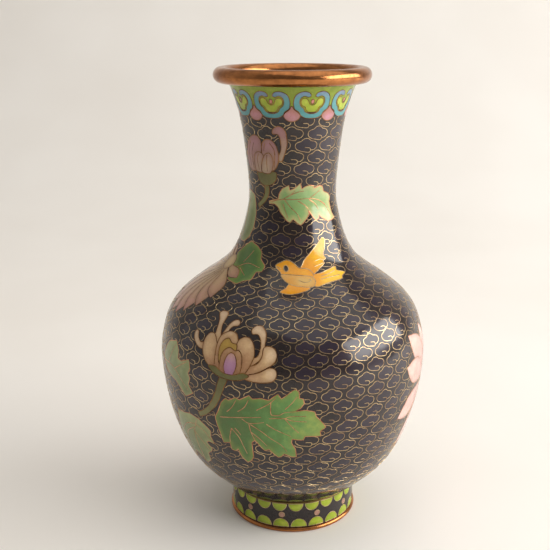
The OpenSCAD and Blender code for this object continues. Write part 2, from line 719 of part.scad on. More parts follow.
module belly_leaf_wires()
    color("gold")
        in_belly() for (a = BELLY_LEAVES) on_skin(a) leaf_wires(a, BELLY_LEAF, BELLY_VEINS);

// The leaves of the sides, one of which reaches from the belly to the neck
module on_sides()
    intersection() {
        enamel(body, foot_h, collar_z);
        union() children();
    }

module side_leaves()
    color("darkolivegreen")
        on_sides() for (l = SIDE_LEAVES) on_skin(l[0]) leaf_cells(l[0], l[1], l[2]);

module side_leaf_wires()
    color("gold")
        on_sides() for (l = SIDE_LEAVES) on_skin(l[0]) leaf_wires(l[0], l[1], l[2]);

// The shoulder leaf, cut back where the flower lies before it
module behind_flower()
    difference() {
        in_belly() on_skin(SHOULDER_LEAF_AT) children();
        shoulder_flower_pocket();
    }

module shoulder_leaf()
    color("olivedrab")
        behind_flower() leaf_cells(SHOULDER_LEAF_AT, SHOULDER_LEAF, SHOULDER_VEINS);

module shoulder_leaf_wires()
    color("gold")
        behind_flower() leaf_wires(SHOULDER_LEAF_AT, SHOULDER_LEAF, SHOULDER_VEINS);

module flower_petals(a, outlines)
    in_belly() on_skin(a) cells(a, outlines, [0 : len(outlines) - 1]);

module flower_wires(a, outlines)
    color("gold")
        in_belly() on_skin(a) wires(a, outlines);

module shoulder_flower() color("rosybrown") flower_petals(SHOULDER_AT, SHOULDER_FLOWER);

module shoulder_flower_wires() flower_wires(SHOULDER_AT, SHOULDER_FLOWER);

module side_flowers() color("mistyrose") for (a = SIDE_FLOWERS) flower_petals(a, SIDE_FLOWER);

module side_flower_wires() for (a = SIDE_FLOWERS) flower_wires(a, SIDE_FLOWER);

neck_shell();
upper_belly_shell();
lower_belly_shell();
foot_shell();
rim_ring();
foot_joint_ring();
foot_ring();
neck_lining();
belly_lining();
base_enamel();
neck_ground();
belly_ground();
foot_ground();
collar_ground();
collar_heads();
collar_hearts();
collar_beads();
collar_petals();
collar_wires();
hanging_scallops();
rising_scallops();
foot_dots();
foot_wires();
bud_petals();
bud_calyx();
bud_wires();
neck_leaves();
neck_leaf_wires();
bird_plumage();
bird_breast();
bird_eye();
bird_wires();
chrysanthemum_petals();
chrysanthemum_heart();
chrysanthemum_base();
chrysanthemum_stem();
chrysanthemum_wires();
belly_leaves();
belly_leaf_wires();
side_leaves();
side_leaf_wires();
shoulder_leaf();
shoulder_leaf_wires();
shoulder_flower();
shoulder_flower_wires();
side_flowers();
side_flower_wires();
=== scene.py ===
"""Looks of a cloisonne vase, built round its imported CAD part: metres, +Z up, front at -Y.

Shapes on the vase are drawn in millimetres along its skin, right and up from an anchor,
and are then laid on the surface, so they follow it exactly.
"""

import math

import bpy
import numpy as np
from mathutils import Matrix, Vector
from mathutils.geometry import delaunay_2d_cdt


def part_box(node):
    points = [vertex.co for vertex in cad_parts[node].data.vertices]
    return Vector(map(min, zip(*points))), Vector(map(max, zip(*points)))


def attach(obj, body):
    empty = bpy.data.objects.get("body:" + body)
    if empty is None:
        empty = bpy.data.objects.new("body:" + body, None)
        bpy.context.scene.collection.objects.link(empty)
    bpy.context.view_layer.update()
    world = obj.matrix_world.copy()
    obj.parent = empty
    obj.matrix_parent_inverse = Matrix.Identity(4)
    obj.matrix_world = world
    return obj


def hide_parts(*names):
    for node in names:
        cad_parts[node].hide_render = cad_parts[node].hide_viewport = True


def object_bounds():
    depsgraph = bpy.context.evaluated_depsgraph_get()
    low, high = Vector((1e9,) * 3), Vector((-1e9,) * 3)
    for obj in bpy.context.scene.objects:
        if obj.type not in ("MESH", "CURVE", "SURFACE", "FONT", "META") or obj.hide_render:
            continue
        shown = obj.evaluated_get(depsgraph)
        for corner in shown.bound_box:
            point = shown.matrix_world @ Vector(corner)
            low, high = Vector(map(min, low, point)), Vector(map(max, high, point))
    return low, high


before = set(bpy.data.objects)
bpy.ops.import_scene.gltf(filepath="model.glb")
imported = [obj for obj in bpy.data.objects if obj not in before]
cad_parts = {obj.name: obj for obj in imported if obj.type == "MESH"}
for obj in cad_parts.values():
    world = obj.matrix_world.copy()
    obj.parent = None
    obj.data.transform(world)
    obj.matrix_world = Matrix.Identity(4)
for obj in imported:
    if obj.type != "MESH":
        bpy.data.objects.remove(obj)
cad_lo, cad_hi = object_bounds()

MM = 0.001
RNG = np.random.RandomState(17)

# ---------- measures taken from the CAD frame, in millimetres ----------


def node_radii(node):
    """Least and greatest distance of a CAD node's points from the axis."""
    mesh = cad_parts[node].data
    co = np.zeros(3 * len(mesh.vertices))
    mesh.vertices.foreach_get("co", co)
    r = np.hypot(co[0::3], co[1::3]) / MM
    return r.min(), r.max()


def node_heights(node):
    low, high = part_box(node)
    return low.z / MM, high.z / MM


VASE_H = cad_hi.z / MM
RIM_ROLL = (node_heights("rim_ring")[1] - node_heights("rim_ring")[0]) / 2
RIM_R = node_radii("rim_ring")[1] - RIM_ROLL
RIM_Z = VASE_H - RIM_ROLL
BELLY_R = node_radii("belly_ground")[1]
FOOT_R = node_radii("foot_ground")[1]
ENAMEL_T = FOOT_R - node_radii("foot_ground")[0]
NECK_R = node_radii("neck_ground")[0] + ENAMEL_T
FOOT_H = node_heights("foot_joint_ring")[1]
JOINT_H = FOOT_H - node_heights("foot_joint_ring")[0]
FOOT_RING_TOP = node_heights("foot_ground")[0]
FOOT_RING_R = node_radii("foot_ring")[1]
LINING_IN = node_heights("base_enamel")[1] - node_heights("base_enamel")[0]
COPPER_T = FOOT_H - node_heights("base_enamel")[1]
SHOULDER_SEAM_Z = node_heights("neck_lining")[0]
GROUND_SEAM_Z = node_heights("neck_ground")[0]
COLLAR_Z = node_heights("collar_ground")[0]
COLLAR_TOP_Z = node_heights("collar_ground")[1]
BELLY_Z = 0.39 * VASE_H
WAIST_Z = 0.76 * VASE_H

# ---------- curves ----------


def curve(points, steps, closed=False):
    """Smooth curve through the points, with that many straight steps between neighbours."""
    p = np.asarray(points, float)
    n = len(p)
    i = np.arange(n if closed else n - 1)

    def take(k):
        return p[k % n] if closed else p[np.clip(k, 0, n - 1)]

    def chord(u, v):
        return np.maximum(np.linalg.norm(v - u, axis=1), 0.001)[:, None]

    a, b, c, d = take(i - 1), take(i), take(i + 1), take(i + 2)
    span = chord(b, c)
    mb = span * (c - a) / (chord(a, b) + span)
    mc = span * (d - b) / (span + chord(c, d))
    rows = []
    for t in np.arange(steps) / steps:
        rows.append(
            (2 * t**3 - 3 * t**2 + 1) * b
            + (t**3 - 2 * t**2 + t) * mb
            + (3 * t**2 - 2 * t**3) * c
            + (t**3 - t**2) * mc
        )
    out = np.stack(rows, axis=1).reshape(-1, p.shape[1])
    return out if closed else np.vstack([out, p[-1]])


def loop(points, steps=6):
    return curve(points, steps, closed=True)


def ribbon(path, w_start, w_end, steps=5):
    """Closed outline of a ribbon that follows a path and tapers."""
    p = curve(path, steps)
    d = np.gradient(p, axis=0)
    d /= np.linalg.norm(d, axis=1)[:, None]
    half = np.linspace(w_start, w_end, len(p))[:, None] / 2
    side = np.stack([-d[:, 1], d[:, 0]], axis=1) * half
    return np.vstack([p + side, (p - side)[::-1]])


def oval(x, y, rx, ry, sides=28):
    a = np.arange(sides) * 2 * math.pi / sides
    return np.stack([x + rx * np.cos(a), y + ry * np.sin(a)], axis=1)


def petal(length, width, turn, steps=14):
    """Round-ended petal from the origin, along a direction in degrees."""
    t = np.arange(2 * steps) / steps
    sign = np.where(t <= 1, -1.0, 1.0)
    t = np.where(t <= 1, t, 2 - t)
    half = sign * 0.5 * width * np.sin(math.pi * t**1.6)
    c, s = math.cos(math.radians(turn)), math.sin(math.radians(turn))
    return np.stack([length * t * c - half * s, length * t * s + half * c], axis=1)


def both_sides(half):
    """Whole outline from its right half, listed from bottom centre to top centre."""
    return [list(p) for p in half] + [[-x, y] for x, y in half[-2:0:-1]]


def spread(outline, spacing=0.9):
    """The same straight-sided outline with points added along its long sides."""
    p = np.asarray(outline, float)
    out = []
    for a, b in zip(p, np.roll(p, -1, axis=0)):
        n = max(1, int(round(np.linalg.norm(b - a) / spacing)))
        out += [a + (b - a) * k / n for k in range(n)]
    return np.array(out)


def lobed(outline):
    """Leaf outline with slightly softened corners."""
    p = spread(outline, 1.2)
    soft = (np.roll(p, 1, axis=0) + 2 * p + np.roll(p, -1, axis=0)) / 4
    return 0.8 * p + 0.2 * soft


# ---------- the skin of the vase ----------


class Skin:
    """A profile turned round the axis, measured by the length along it."""

    def __init__(self, points, steps):
        p = curve(points, steps)
        step = np.linalg.norm(np.diff(p, axis=0), axis=1)
        d = np.gradient(p, axis=0)
        d /= np.linalg.norm(d, axis=1)[:, None]
        self.s = np.concatenate([[0], np.cumsum(step)])
        self.r, self.z = p[:, 0], p[:, 1]
        self.nr, self.nz = d[:, 1], -d[:, 0]

    def length_at(self, z):
        return np.interp(z, self.z, self.s)

    def radius(self, s):
        return np.interp(s, self.s, self.r)

    def point(self, s, depth=0.0):
        """Radius and height at length s, at a depth below the surface."""
        r = np.interp(s, self.s, self.r) - depth * np.interp(s, self.s, self.nr)
        z = np.interp(s, self.s, self.z) - depth * np.interp(s, self.s, self.nz)
        return r, z

    def place(self, az, s, lift=0.0):
        """Points and outward normals at azimuths (radians, from -Y to +X) and lengths."""
        nr, nz = np.interp(s, self.s, self.nr), np.interp(s, self.s, self.nz)
        r, z = self.point(s, -np.asarray(lift))
        sin, cos = np.sin(az), np.cos(az)
        points = np.stack([r * sin, -r * cos, z], axis=-1)
        normals = np.stack([nr * sin, -nr * cos, nz], axis=-1)
        return points, normals


class Anchor:
    """The origin of a drawing on the skin."""

    def __init__(self, skin, degrees, z):
        self.skin = skin
        self.az = math.radians(degrees)
        self.s = float(skin.length_at(z))

    def on_skin(self, xy):
        """Azimuths and lengths of a drawing's points."""
        s = self.s + xy[:, 1]
        return self.az + xy[:, 0] / self.skin.radius(s), s

    def place(self, xy, lift=0.0):
        return self.skin.place(*self.on_skin(xy), lift)

    def drawing(self, az, s):
        """The reverse of on_skin: drawing coordinates of points on the skin."""
        turn = (az - self.az + math.pi) % (2 * math.pi) - math.pi
        return np.stack([turn * self.skin.radius(s), s - self.s], axis=-1)


def low(out, up):
    start = FOOT_R + 0.6
    return [start + (BELLY_R - start) * out, FOOT_H + (BELLY_Z - FOOT_H) * up]


def high(out, up):
    return [NECK_R + (BELLY_R - NECK_R) * out, BELLY_Z + (WAIST_Z - BELLY_Z) * up]


def flare(out, up):
    return [NECK_R + (RIM_R - 0.8 - NECK_R) * out, WAIST_Z + (RIM_Z - WAIST_Z) * up]


BODY = Skin(
    [
        low(0, 0), low(0.2, 0.074), low(0.612, 0.29), low(0.886, 0.615), low(1, 1),
        high(0.94, 0.2), high(0.82, 0.316), high(0.596, 0.42), high(0.384, 0.5),
        high(0.214, 0.58), high(0.097, 0.7), high(0.01, 0.88), high(0, 1),
        flare(0.15, 0.35), flare(0.335, 0.62), flare(0.63, 0.855), flare(1, 1),
    ],
    16,
)
FOOT = Skin([[FOOT_R, 0.2], [FOOT_R, FOOT_H]], 8)

# ---------- meshes ----------


def put(name, data):
    """A new object in the scene."""
    thing = bpy.data.objects.new(name, data)
    bpy.context.scene.collection.objects.link(thing)
    return thing


def make(name, material, slot, verts, faces, sharp, **attributes):
    """A shown piece from points in millimetres. It rides on the vase's only body.

    A piece that has the name of a CAD node takes the place of that node.
    """
    mesh = bpy.data.meshes.new(name)
    mesh.from_pydata((np.asarray(verts, float) * MM).tolist(), [], faces)
    for key, values in attributes.items():
        layer = mesh.attributes.new(key, "FLOAT", "POINT")
        layer.data.foreach_set("value", np.asarray(values, np.float32))
    mesh.shade_smooth()
    mesh.set_sharp_from_angle(angle=math.radians(sharp))
    mesh.materials.append(material)
    mesh.validate()
    piece = put(name, mesh)
    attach(piece, "root")
    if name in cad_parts:
        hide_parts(name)


def quads(rows, columns, close_rows, close_columns=True, start=0):
    """Faces between points that are numbered row by row."""
    i, k = np.mgrid[:rows - (not close_rows), :columns - (not close_columns)]
    j, m = (i + 1) % rows, (k + 1) % columns
    corners = [i * columns + k, i * columns + m, j * columns + m, j * columns + k]
    return (np.stack(corners, axis=-1).reshape(-1, 4) + start).tolist()


def turned(name, material, slot, section, around=256, closed=True, sharp=40, wobble=None):
    """Turns a section, listed as (radius, height), round the axis.

    An open section starts and ends on the axis.
    """
    section = np.asarray(section, float)
    a = np.arange(around) * 2 * math.pi / around
    ring = section if closed else section[1:-1]
    r = np.repeat(ring[:, 0], around)
    z = np.repeat(ring[:, 1], around)
    az = np.tile(a, len(ring))
    if wobble is not None:
        r = r + wobble(az, z)
    verts = np.stack([r * np.sin(az), -r * np.cos(az), z], axis=1).tolist()
    n = len(ring)
    faces = quads(n, around, closed)
    if not closed:
        verts += [[0, 0, section[0][1]], [0, 0, section[-1][1]]]
        first, last = n * around, n * around + 1
        for k in range(around):
            m = (k + 1) % around
            faces.append([first, m, k])
            faces.append([last, (n - 1) * around + k, (n - 1) * around + m])
    make(name, material, slot, verts, faces, sharp)


def layer_section(skin, z0, z1, d0, d1, spacing=1.5):
    """Closed section of a layer between two heights and two depths."""
    s0, s1 = skin.length_at(z0), skin.length_at(z1)
    s = np.linspace(s0, s1, max(2, int((s1 - s0) / spacing)))
    outer = np.stack(skin.point(s, d0), axis=1)
    inner = np.stack(skin.point(s[::-1], d1), axis=1)
    return np.vstack([outer, inner])


def inside(points, outline):
    """Which points lie within a closed outline."""
    x, y = points[:, 0], points[:, 1]
    result = np.zeros(len(points), bool)
    lo, hi = outline.min(0), outline.max(0)
    near = (x > lo[0]) & (x < hi[0]) & (y > lo[1]) & (y < hi[1])
    if near.any():
        px, py = x[near][:, None], y[near][:, None]
        x0, y0 = outline[:, 0], outline[:, 1]
        x1, y1 = np.roll(x0, -1), np.roll(y0, -1)
        rise = np.where(y1 == y0, 1e-9, y1 - y0)
        across = ((y0 > py) != (y1 > py)) & (px < x0 + (py - y0) / rise * (x1 - x0))
        result[near] = across.sum(axis=1) % 2 == 1
    return result


def triangles(outlines, spacing):
    """Splits a drawing into triangles, each owned by the front-most outline over it."""
    loops = []
    for o in outlines:
        area = np.sum(o[:, 0] * np.roll(o[:, 1], -1) - np.roll(o[:, 0], -1) * o[:, 1])
        loops.append(o if area > 0 else o[::-1])
    lo = np.min([o.min(0) for o in loops], axis=0)
    hi = np.max([o.max(0) for o in loops], axis=0)
    grid = [
        [x + (row % 2) * spacing / 2, y]
        for row, y in enumerate(np.arange(lo[1], hi[1], spacing * 0.87))
        for x in np.arange(lo[0], hi[0], spacing)
    ]
    grid = np.array(grid)
    used = np.zeros(len(grid), bool)
    for o in loops:
        used |= inside(grid, o)
    points = np.vstack(loops + [grid[used]])
    ends = np.cumsum([len(o) for o in loops])
    rings = [list(range(end - len(o), end)) for o, end in zip(loops, ends)]
    found = delaunay_2d_cdt([Vector(p) for p in points], [], rings, 1, 1e-4, True)
    flat = np.array([[p.x, p.y] for p in found[0]])
    tris, owners = [], []
    for face, origins in zip(found[2], found[5]):
        a, b, c = (flat[k] for k in face)
        if abs(np.cross(b - a, c - a)) > 1e-6 and origins:
            tris.append(list(face))
            owners.append(max(origins))
    return flat, np.array(tris), np.array(owners)


EDGE_REACH = 2.2  # how far the tone of an edge reaches into a cell


class Slab:
    """Collects thin plates of enamel that lie on the skin, as one mesh."""

    def __init__(self):
        self.verts, self.faces = [], []
        self.tone, self.edge = [], []

    def add(self, anchor, points, tris, tone, top, bottom=-0.25):
        used = np.unique(tris)
        index = np.full(len(points), -1)
        index[used] = np.arange(len(used))
        flat = points[used]
        tris = index[tris]
        count, start = len(used), len(self.verts)
        # a triangle's sides run from each corner to the next, which for three is also k - 2
        sides = dict.fromkeys((int(t[k]), int(t[k - 2])) for t in tris for k in range(3))
        border = [(a, b) for a, b in sides if (b, a) not in sides]
        rim = flat[sorted({k for side in border for k in side})]
        gap = np.array([np.min(np.linalg.norm(rim - p, axis=1)) for p in flat])
        self.verts += anchor.place(flat, top)[0].tolist()
        self.verts += anchor.place(flat, bottom)[0].tolist()
        self.faces += (tris + start).tolist()
        self.faces += (tris[:, ::-1] + start + count).tolist()
        for a, b in border:
            a, b = a + start, b + start
            self.faces.append([a, a + count, b + count, b])
        self.tone += np.clip(tone(flat), 0, 1).tolist() * 2
        self.edge += np.clip(gap / EDGE_REACH, 0, 1).tolist() * 2

    def piece(self, name, material, slot):
        make(name, material, slot, self.verts, self.faces, 35, tone=self.tone, edge=self.edge)


# Cross-sections of a wire: across as a share of its width, height above the skin in mm
WIRE_SECTION = ((-0.5, -0.2), (-0.4, 0.06), (-0.16, 0.1), (0.16, 0.1), (0.4, 0.06), (0.5, -0.2))
CLOUD_SECTION = ((-0.5, -0.12), (-0.3, 0.07), (0.3, 0.07), (0.5, -0.12))


class Wires:
    """Collects wires that run along the skin, as one mesh."""

    def __init__(self, section, width):
        self.section = section
        self.width = width
        self.verts, self.faces = [], []

    def add(self, points, normals, closed=False, taper=1.0):
        n = len(points)
        if n < 3:
            return
        if closed:
            run = np.roll(points, -1, axis=0) - np.roll(points, 1, axis=0)
        else:
            run = np.gradient(points, axis=0)
        side = np.cross(run, normals)
        side /= np.linalg.norm(side, axis=1)[:, None]
        width = self.width * np.linspace(1, taper, n)[:, None]
        start, m = len(self.verts), len(self.section)
        rings = [points + side * across * width + normals * rise for across, rise in self.section]
        self.verts += np.stack(rings, axis=1).reshape(-1, 3).tolist()
        self.faces += quads(n, m, closed, start=start)
        if not closed:
            last = start + (n - 1) * m
            self.faces.append([start + k for k in range(m)][::-1])
            self.faces.append([last + k for k in range(m)])

    def piece(self, name, material):
        make(name, material, "wire", self.verts, self.faces, 50)


# ---------- materials ----------


def rgb(r, g, b):
    """Linear colour from display values out of 255."""
    v = np.array([r, g, b]) / 255
    return (*np.where(v <= 0.04045, v / 12.92, ((v + 0.055) / 1.055) ** 2.4).tolist(), 1.0)


def add_node(tree, kind, inputs=(), **settings):
    """A node with its settings. Each of its inputs is a value or a socket to link."""
    node = tree.nodes.new(kind)
    for key, value in settings.items():
        setattr(node, key, value)
    for key, value in dict(inputs).items():
        if isinstance(value, bpy.types.NodeSocket):
            tree.links.new(value, node.inputs[key])
        else:
            node.inputs[key].default_value = value
    return node


class Shader:
    """One material and the few kinds of node that its look is made from."""

    def __init__(self, name, **fixed):
        self.material = bpy.data.materials.new(name)
        self.material.use_nodes = True
        self.tree = self.material.node_tree
        self.bsdf = self.tree.nodes["Principled BSDF"]
        for key, value in fixed.items():
            self.bsdf.inputs[key.replace("_", " ")].default_value = value

    def add(self, kind, inputs=(), **settings):
        return add_node(self.tree, kind, inputs, **settings)

    def place(self):
        return self.add("ShaderNodeTexCoord").outputs["Object"]

    def noise(self, scale, detail=3.0, rough=0.55, at=None):
        inputs = {"Scale": scale, "Detail": detail, "Roughness": rough}
        inputs["Vector"] = at or self.place()
        return self.add("ShaderNodeTexNoise", inputs).outputs["Fac"]

    def value(self, attribute):
        return self.add("ShaderNodeAttribute", attribute_name=attribute).outputs["Fac"]

    def math(self, operation, a, b=0.0, clamp=False):
        node = self.add("ShaderNodeMath", {0: a, 1: b}, operation=operation, use_clamp=clamp)
        return node.outputs[0]

    def ramp(self, fac, stops):
        """Colours at places along a ramp, given as {place: (red, green, blue)}."""
        node = self.add("ShaderNodeValToRGB", {"Fac": fac})
        elements = node.color_ramp.elements
        while len(elements) < len(stops):
            elements.new(0.5)
        for element, (at, colour) in zip(elements, stops.items()):
            element.position = at
            element.color = rgb(*colour)
        return node.outputs["Color"]

    def mix(self, fac, a, b, blend="MIX"):
        """Two colours mixed. The node's colours are its inputs 6 and 7 and its output 2."""
        inputs = {0: fac, 6: a, 7: b}
        return self.add("ShaderNodeMix", inputs, data_type="RGBA", blend_type=blend).outputs[2]

    def span(self, fac, low, high):
        """Maps a value from 0.3-0.7 to a range."""
        inputs = {"Value": fac, "From Min": 0.3, "From Max": 0.7, "To Min": low, "To Max": high}
        return self.add("ShaderNodeMapRange", inputs).outputs["Result"]

    def bump(self, height, strength, distance):
        inputs = {"Height": height, "Strength": strength, "Distance": distance}
        normal = self.add("ShaderNodeBump", inputs).outputs["Normal"]
        self.tree.links.new(normal, self.bsdf.inputs["Normal"])

    def feed(self, socket, value):
        self.tree.links.new(value, self.bsdf.inputs[socket])


# Tone of the fine dark grains in enamel, out of 255
GRAIN = (220.586, 220.586, 220.586)


def enamel(name, stops, edge=None, edge_share=0.6, mottle=0.22, pits=0.5):
    """Polished fired enamel: tones that run into each other, fine grains and pits."""
    s = Shader(name, IOR=1.5)
    cloudy = s.math("SUBTRACT", s.noise(260.0, 4.0), 0.5)
    shift = s.math("MULTIPLY", cloudy, mottle * 2)
    tone = s.math("ADD", s.value("tone"), shift, clamp=True)
    colour = s.ramp(tone, stops)
    if edge is not None:
        rough_edge = s.math("ADD", s.value("edge"), shift, clamp=True)
        inward = s.math("SUBTRACT", 1.0, rough_edge)
        colour = s.mix(s.math("MULTIPLY", inward, edge_share), colour, rgb(*edge))
    grains = s.ramp(s.noise(1900.0, 2.0), {0.3: GRAIN, 0.46: (255, 255, 255)})
    colour = s.mix(0.45, colour, grains, "MULTIPLY")
    s.feed("Base Color", colour)
    s.feed("Roughness", s.span(s.noise(90.0, 3.0), 0.09, 0.2))
    wavy = s.noise(70.0, 2.0)
    fine = s.math("MULTIPLY", s.noise(1500.0, 2.0), 0.02 * pits)
    s.bump(s.math("ADD", wavy, fine), 0.14, 0.0006)
    return s.material


def metal(name, bright, dull, rough, stain):
    """Gilt or bare metal, brushed round the axis and a little stained."""
    s = Shader(name, Metallic=1.0)
    xyz = s.add("ShaderNodeSeparateXYZ", {"Vector": s.place()})
    x, y, z = (xyz.outputs[k] for k in "XYZ")
    turn = s.math("MULTIPLY", s.math("ARCTAN2", x, y), 0.02)
    reach = s.math("SQRT", s.math("ADD", s.math("MULTIPLY", x, x), s.math("MULTIPLY", y, y)))
    around = s.add("ShaderNodeCombineXYZ", {"X": turn, "Y": reach, "Z": z}).outputs[0]
    lines = s.noise(900.0, 5.0, 0.6, around)
    patches = s.noise(120.0, 5.0, 0.65)
    worn = s.math("ADD", s.math("MULTIPLY", lines, 0.4), s.math("MULTIPLY", patches, 0.6))
    s.feed("Base Color", s.ramp(worn, {0.5 - stain / 3: dull, 0.5 + stain / 6: bright}))
    s.feed("Roughness", s.span(worn, rough[1], rough[0]))
    s.bump(lines, 0.12, 0.0002)
    return s.material


def wire_metal(name, bright, dull):
    """Thin polished brass wire whose colour wanders along its length."""
    s = Shader(name, Metallic=1.0)
    s.feed("Base Color", s.ramp(s.noise(240.0, 4.0, 0.6), {0.38: dull, 0.62: bright}))
    s.feed("Roughness", s.span(s.noise(500.0, 3.0), 0.22, 0.42))
    return s.material


BLACK = enamel("enamel_black", {0: (40, 31, 30), 0.35: (24, 19, 20), 1: (50, 40, 36)}, mottle=0.5)
CLOUD_BLACK = enamel(
    "enamel_cloud",
    {0: (34, 26, 34), 0.5: (44, 35, 45), 1: (52, 42, 50)},
    mottle=0.4,
)
LIME_GROUND = enamel(
    "enamel_lime_ground",
    {0: (128, 146, 34), 0.45: (158, 172, 48), 1: (186, 194, 74)},
    mottle=0.9,
)
LIME = enamel(
    "enamel_lime",
    {0: (132, 152, 32), 0.5: (162, 178, 42), 1: (188, 198, 68)},
    edge=(124, 144, 40), edge_share=0.4, mottle=0.6,
)
TURQUOISE = enamel(
    "enamel_turquoise",
    {0: (84, 156, 158), 0.55: (100, 162, 166), 0.8: (124, 146, 172), 1: (140, 142, 170)},
    edge=(80, 120, 122), edge_share=0.4, mottle=0.35,
)
PINK = enamel(
    "enamel_pink",
    {0: (182, 122, 112), 0.5: (186, 128, 132), 1: (196, 142, 160)},
    edge=(160, 114, 92), edge_share=0.6, mottle=0.5,
)
DOT_PINK = enamel(
    "enamel_dot",
    {0: (166, 120, 100), 0.6: (190, 146, 128), 1: (198, 160, 150)},
    edge=(146, 104, 84), edge_share=0.6, mottle=0.6,
)
BEAD = enamel("enamel_bead", {0: (186, 112, 100), 1: (206, 142, 124)}, pits=1.0)
GREEN = enamel(
    "enamel_green",
    {0: (80, 104, 48), 0.35: (76, 112, 50), 0.7: (96, 140, 70), 1: (140, 160, 78)},
    edge=(128, 144, 68), edge_share=0.75, mottle=0.5,
)
PALE_GREEN = enamel(
    "enamel_pale_green",
    {0: (112, 146, 82), 0.45: (134, 168, 108), 0.8: (158, 182, 126), 1: (190, 196, 140)},
    edge=(190, 180, 124), edge_share=0.85, mottle=0.4,
)
SHADE_GREEN = enamel(
    "enamel_shade_green",
    {0: (98, 108, 60), 0.5: (126, 138, 88), 1: (164, 172, 118)},
    edge=(158, 164, 112), edge_share=0.7, mottle=0.4,
)
OLIVE = enamel(
    "enamel_olive",
    {0: (90, 86, 42), 0.5: (110, 106, 58), 1: (124, 122, 74)},
    mottle=0.4,
)
MAUVE = enamel(
    "enamel_mauve",
    {0: (186, 168, 138), 0.4: (178, 148, 128), 0.75: (164, 122, 120), 1: (166, 118, 124)},
    edge=(136, 100, 84), edge_share=0.6, mottle=0.35,
)
SHOULDER_MAUVE = enamel(
    "enamel_shoulder_mauve",
    {0: (198, 168, 116), 0.4: (190, 156, 112), 0.75: (184, 140, 112), 1: (186, 134, 124)},
    edge=(116, 84, 64), edge_share=0.5, mottle=0.4,
)
CREAM = enamel(
    "enamel_cream",
    {0: (154, 106, 80), 0.4: (186, 144, 106), 0.75: (212, 178, 134), 1: (224, 196, 160)},
    edge=(146, 104, 70), edge_share=0.6, mottle=0.35,
)
MUM_HEART = enamel(
    "enamel_heart",
    {0: (186, 150, 100), 0.6: (182, 148, 68), 1: (190, 156, 74)},
    edge=(140, 104, 60), edge_share=0.5,
)
LILAC = enamel(
    "enamel_lilac",
    {0: (168, 120, 160), 0.5: (186, 140, 168), 1: (206, 168, 150)},
    edge=(160, 110, 110), edge_share=0.4,
)
ORANGE = enamel(
    "enamel_orange",
    {0: (206, 122, 18), 0.5: (222, 152, 28), 1: (236, 192, 58)},
    edge=(210, 140, 30), edge_share=0.4, mottle=0.35,
)
BREAST = enamel(
    "enamel_breast",
    {0: (206, 142, 46), 0.5: (206, 168, 96), 1: (200, 160, 84)},
    edge=(204, 140, 46), edge_share=0.6,
)
EYE = enamel("enamel_eye", {0: (30, 22, 18), 1: (46, 36, 28)})
ROSE_WHITE = enamel(
    "enamel_rose_white",
    {0: (168, 104, 98), 0.4: (194, 146, 136), 0.8: (210, 178, 166), 1: (218, 192, 180)},
    edge=(184, 134, 124), edge_share=0.6, mottle=0.35,
)
LINING = enamel(
    "enamel_lining",
    {0: (44, 104, 120), 0.5: (56, 122, 138), 1: (84, 146, 156)},
    mottle=0.8, pits=1.5,
)
GILT = metal("gilt", (188, 124, 74), (108, 64, 38), (0.13, 0.27), stain=0.8)
# Gilt of the foot joint ring with painted shade: colours darker than the rim's gilt, for the
# shadow under the belly's overhang
JOINT_GILT_PAINTED_SHADE = metal("joint_gilt_painted_shade", (128, 106, 62), (84, 66, 42), (0.3, 0.5), stain=0.8)
COPPER = metal("copper", (196, 126, 88), (110, 62, 42), (0.3, 0.5), stain=0.5)
WIRE = wire_metal("wire", (204, 178, 134), (152, 124, 96))
# Darker wire for the pale motifs: partly oxidised copper, partly painted shade along the wires
OXIDE_AND_SHADE_WIRE = wire_metal("wire_oxide_and_shade", (150, 106, 62), (88, 56, 36))
VEIN_WIRE = wire_metal("wire_vein", (206, 150, 112), (160, 104, 76))

# ---------- drawings, in millimetres along the skin from each anchor ----------

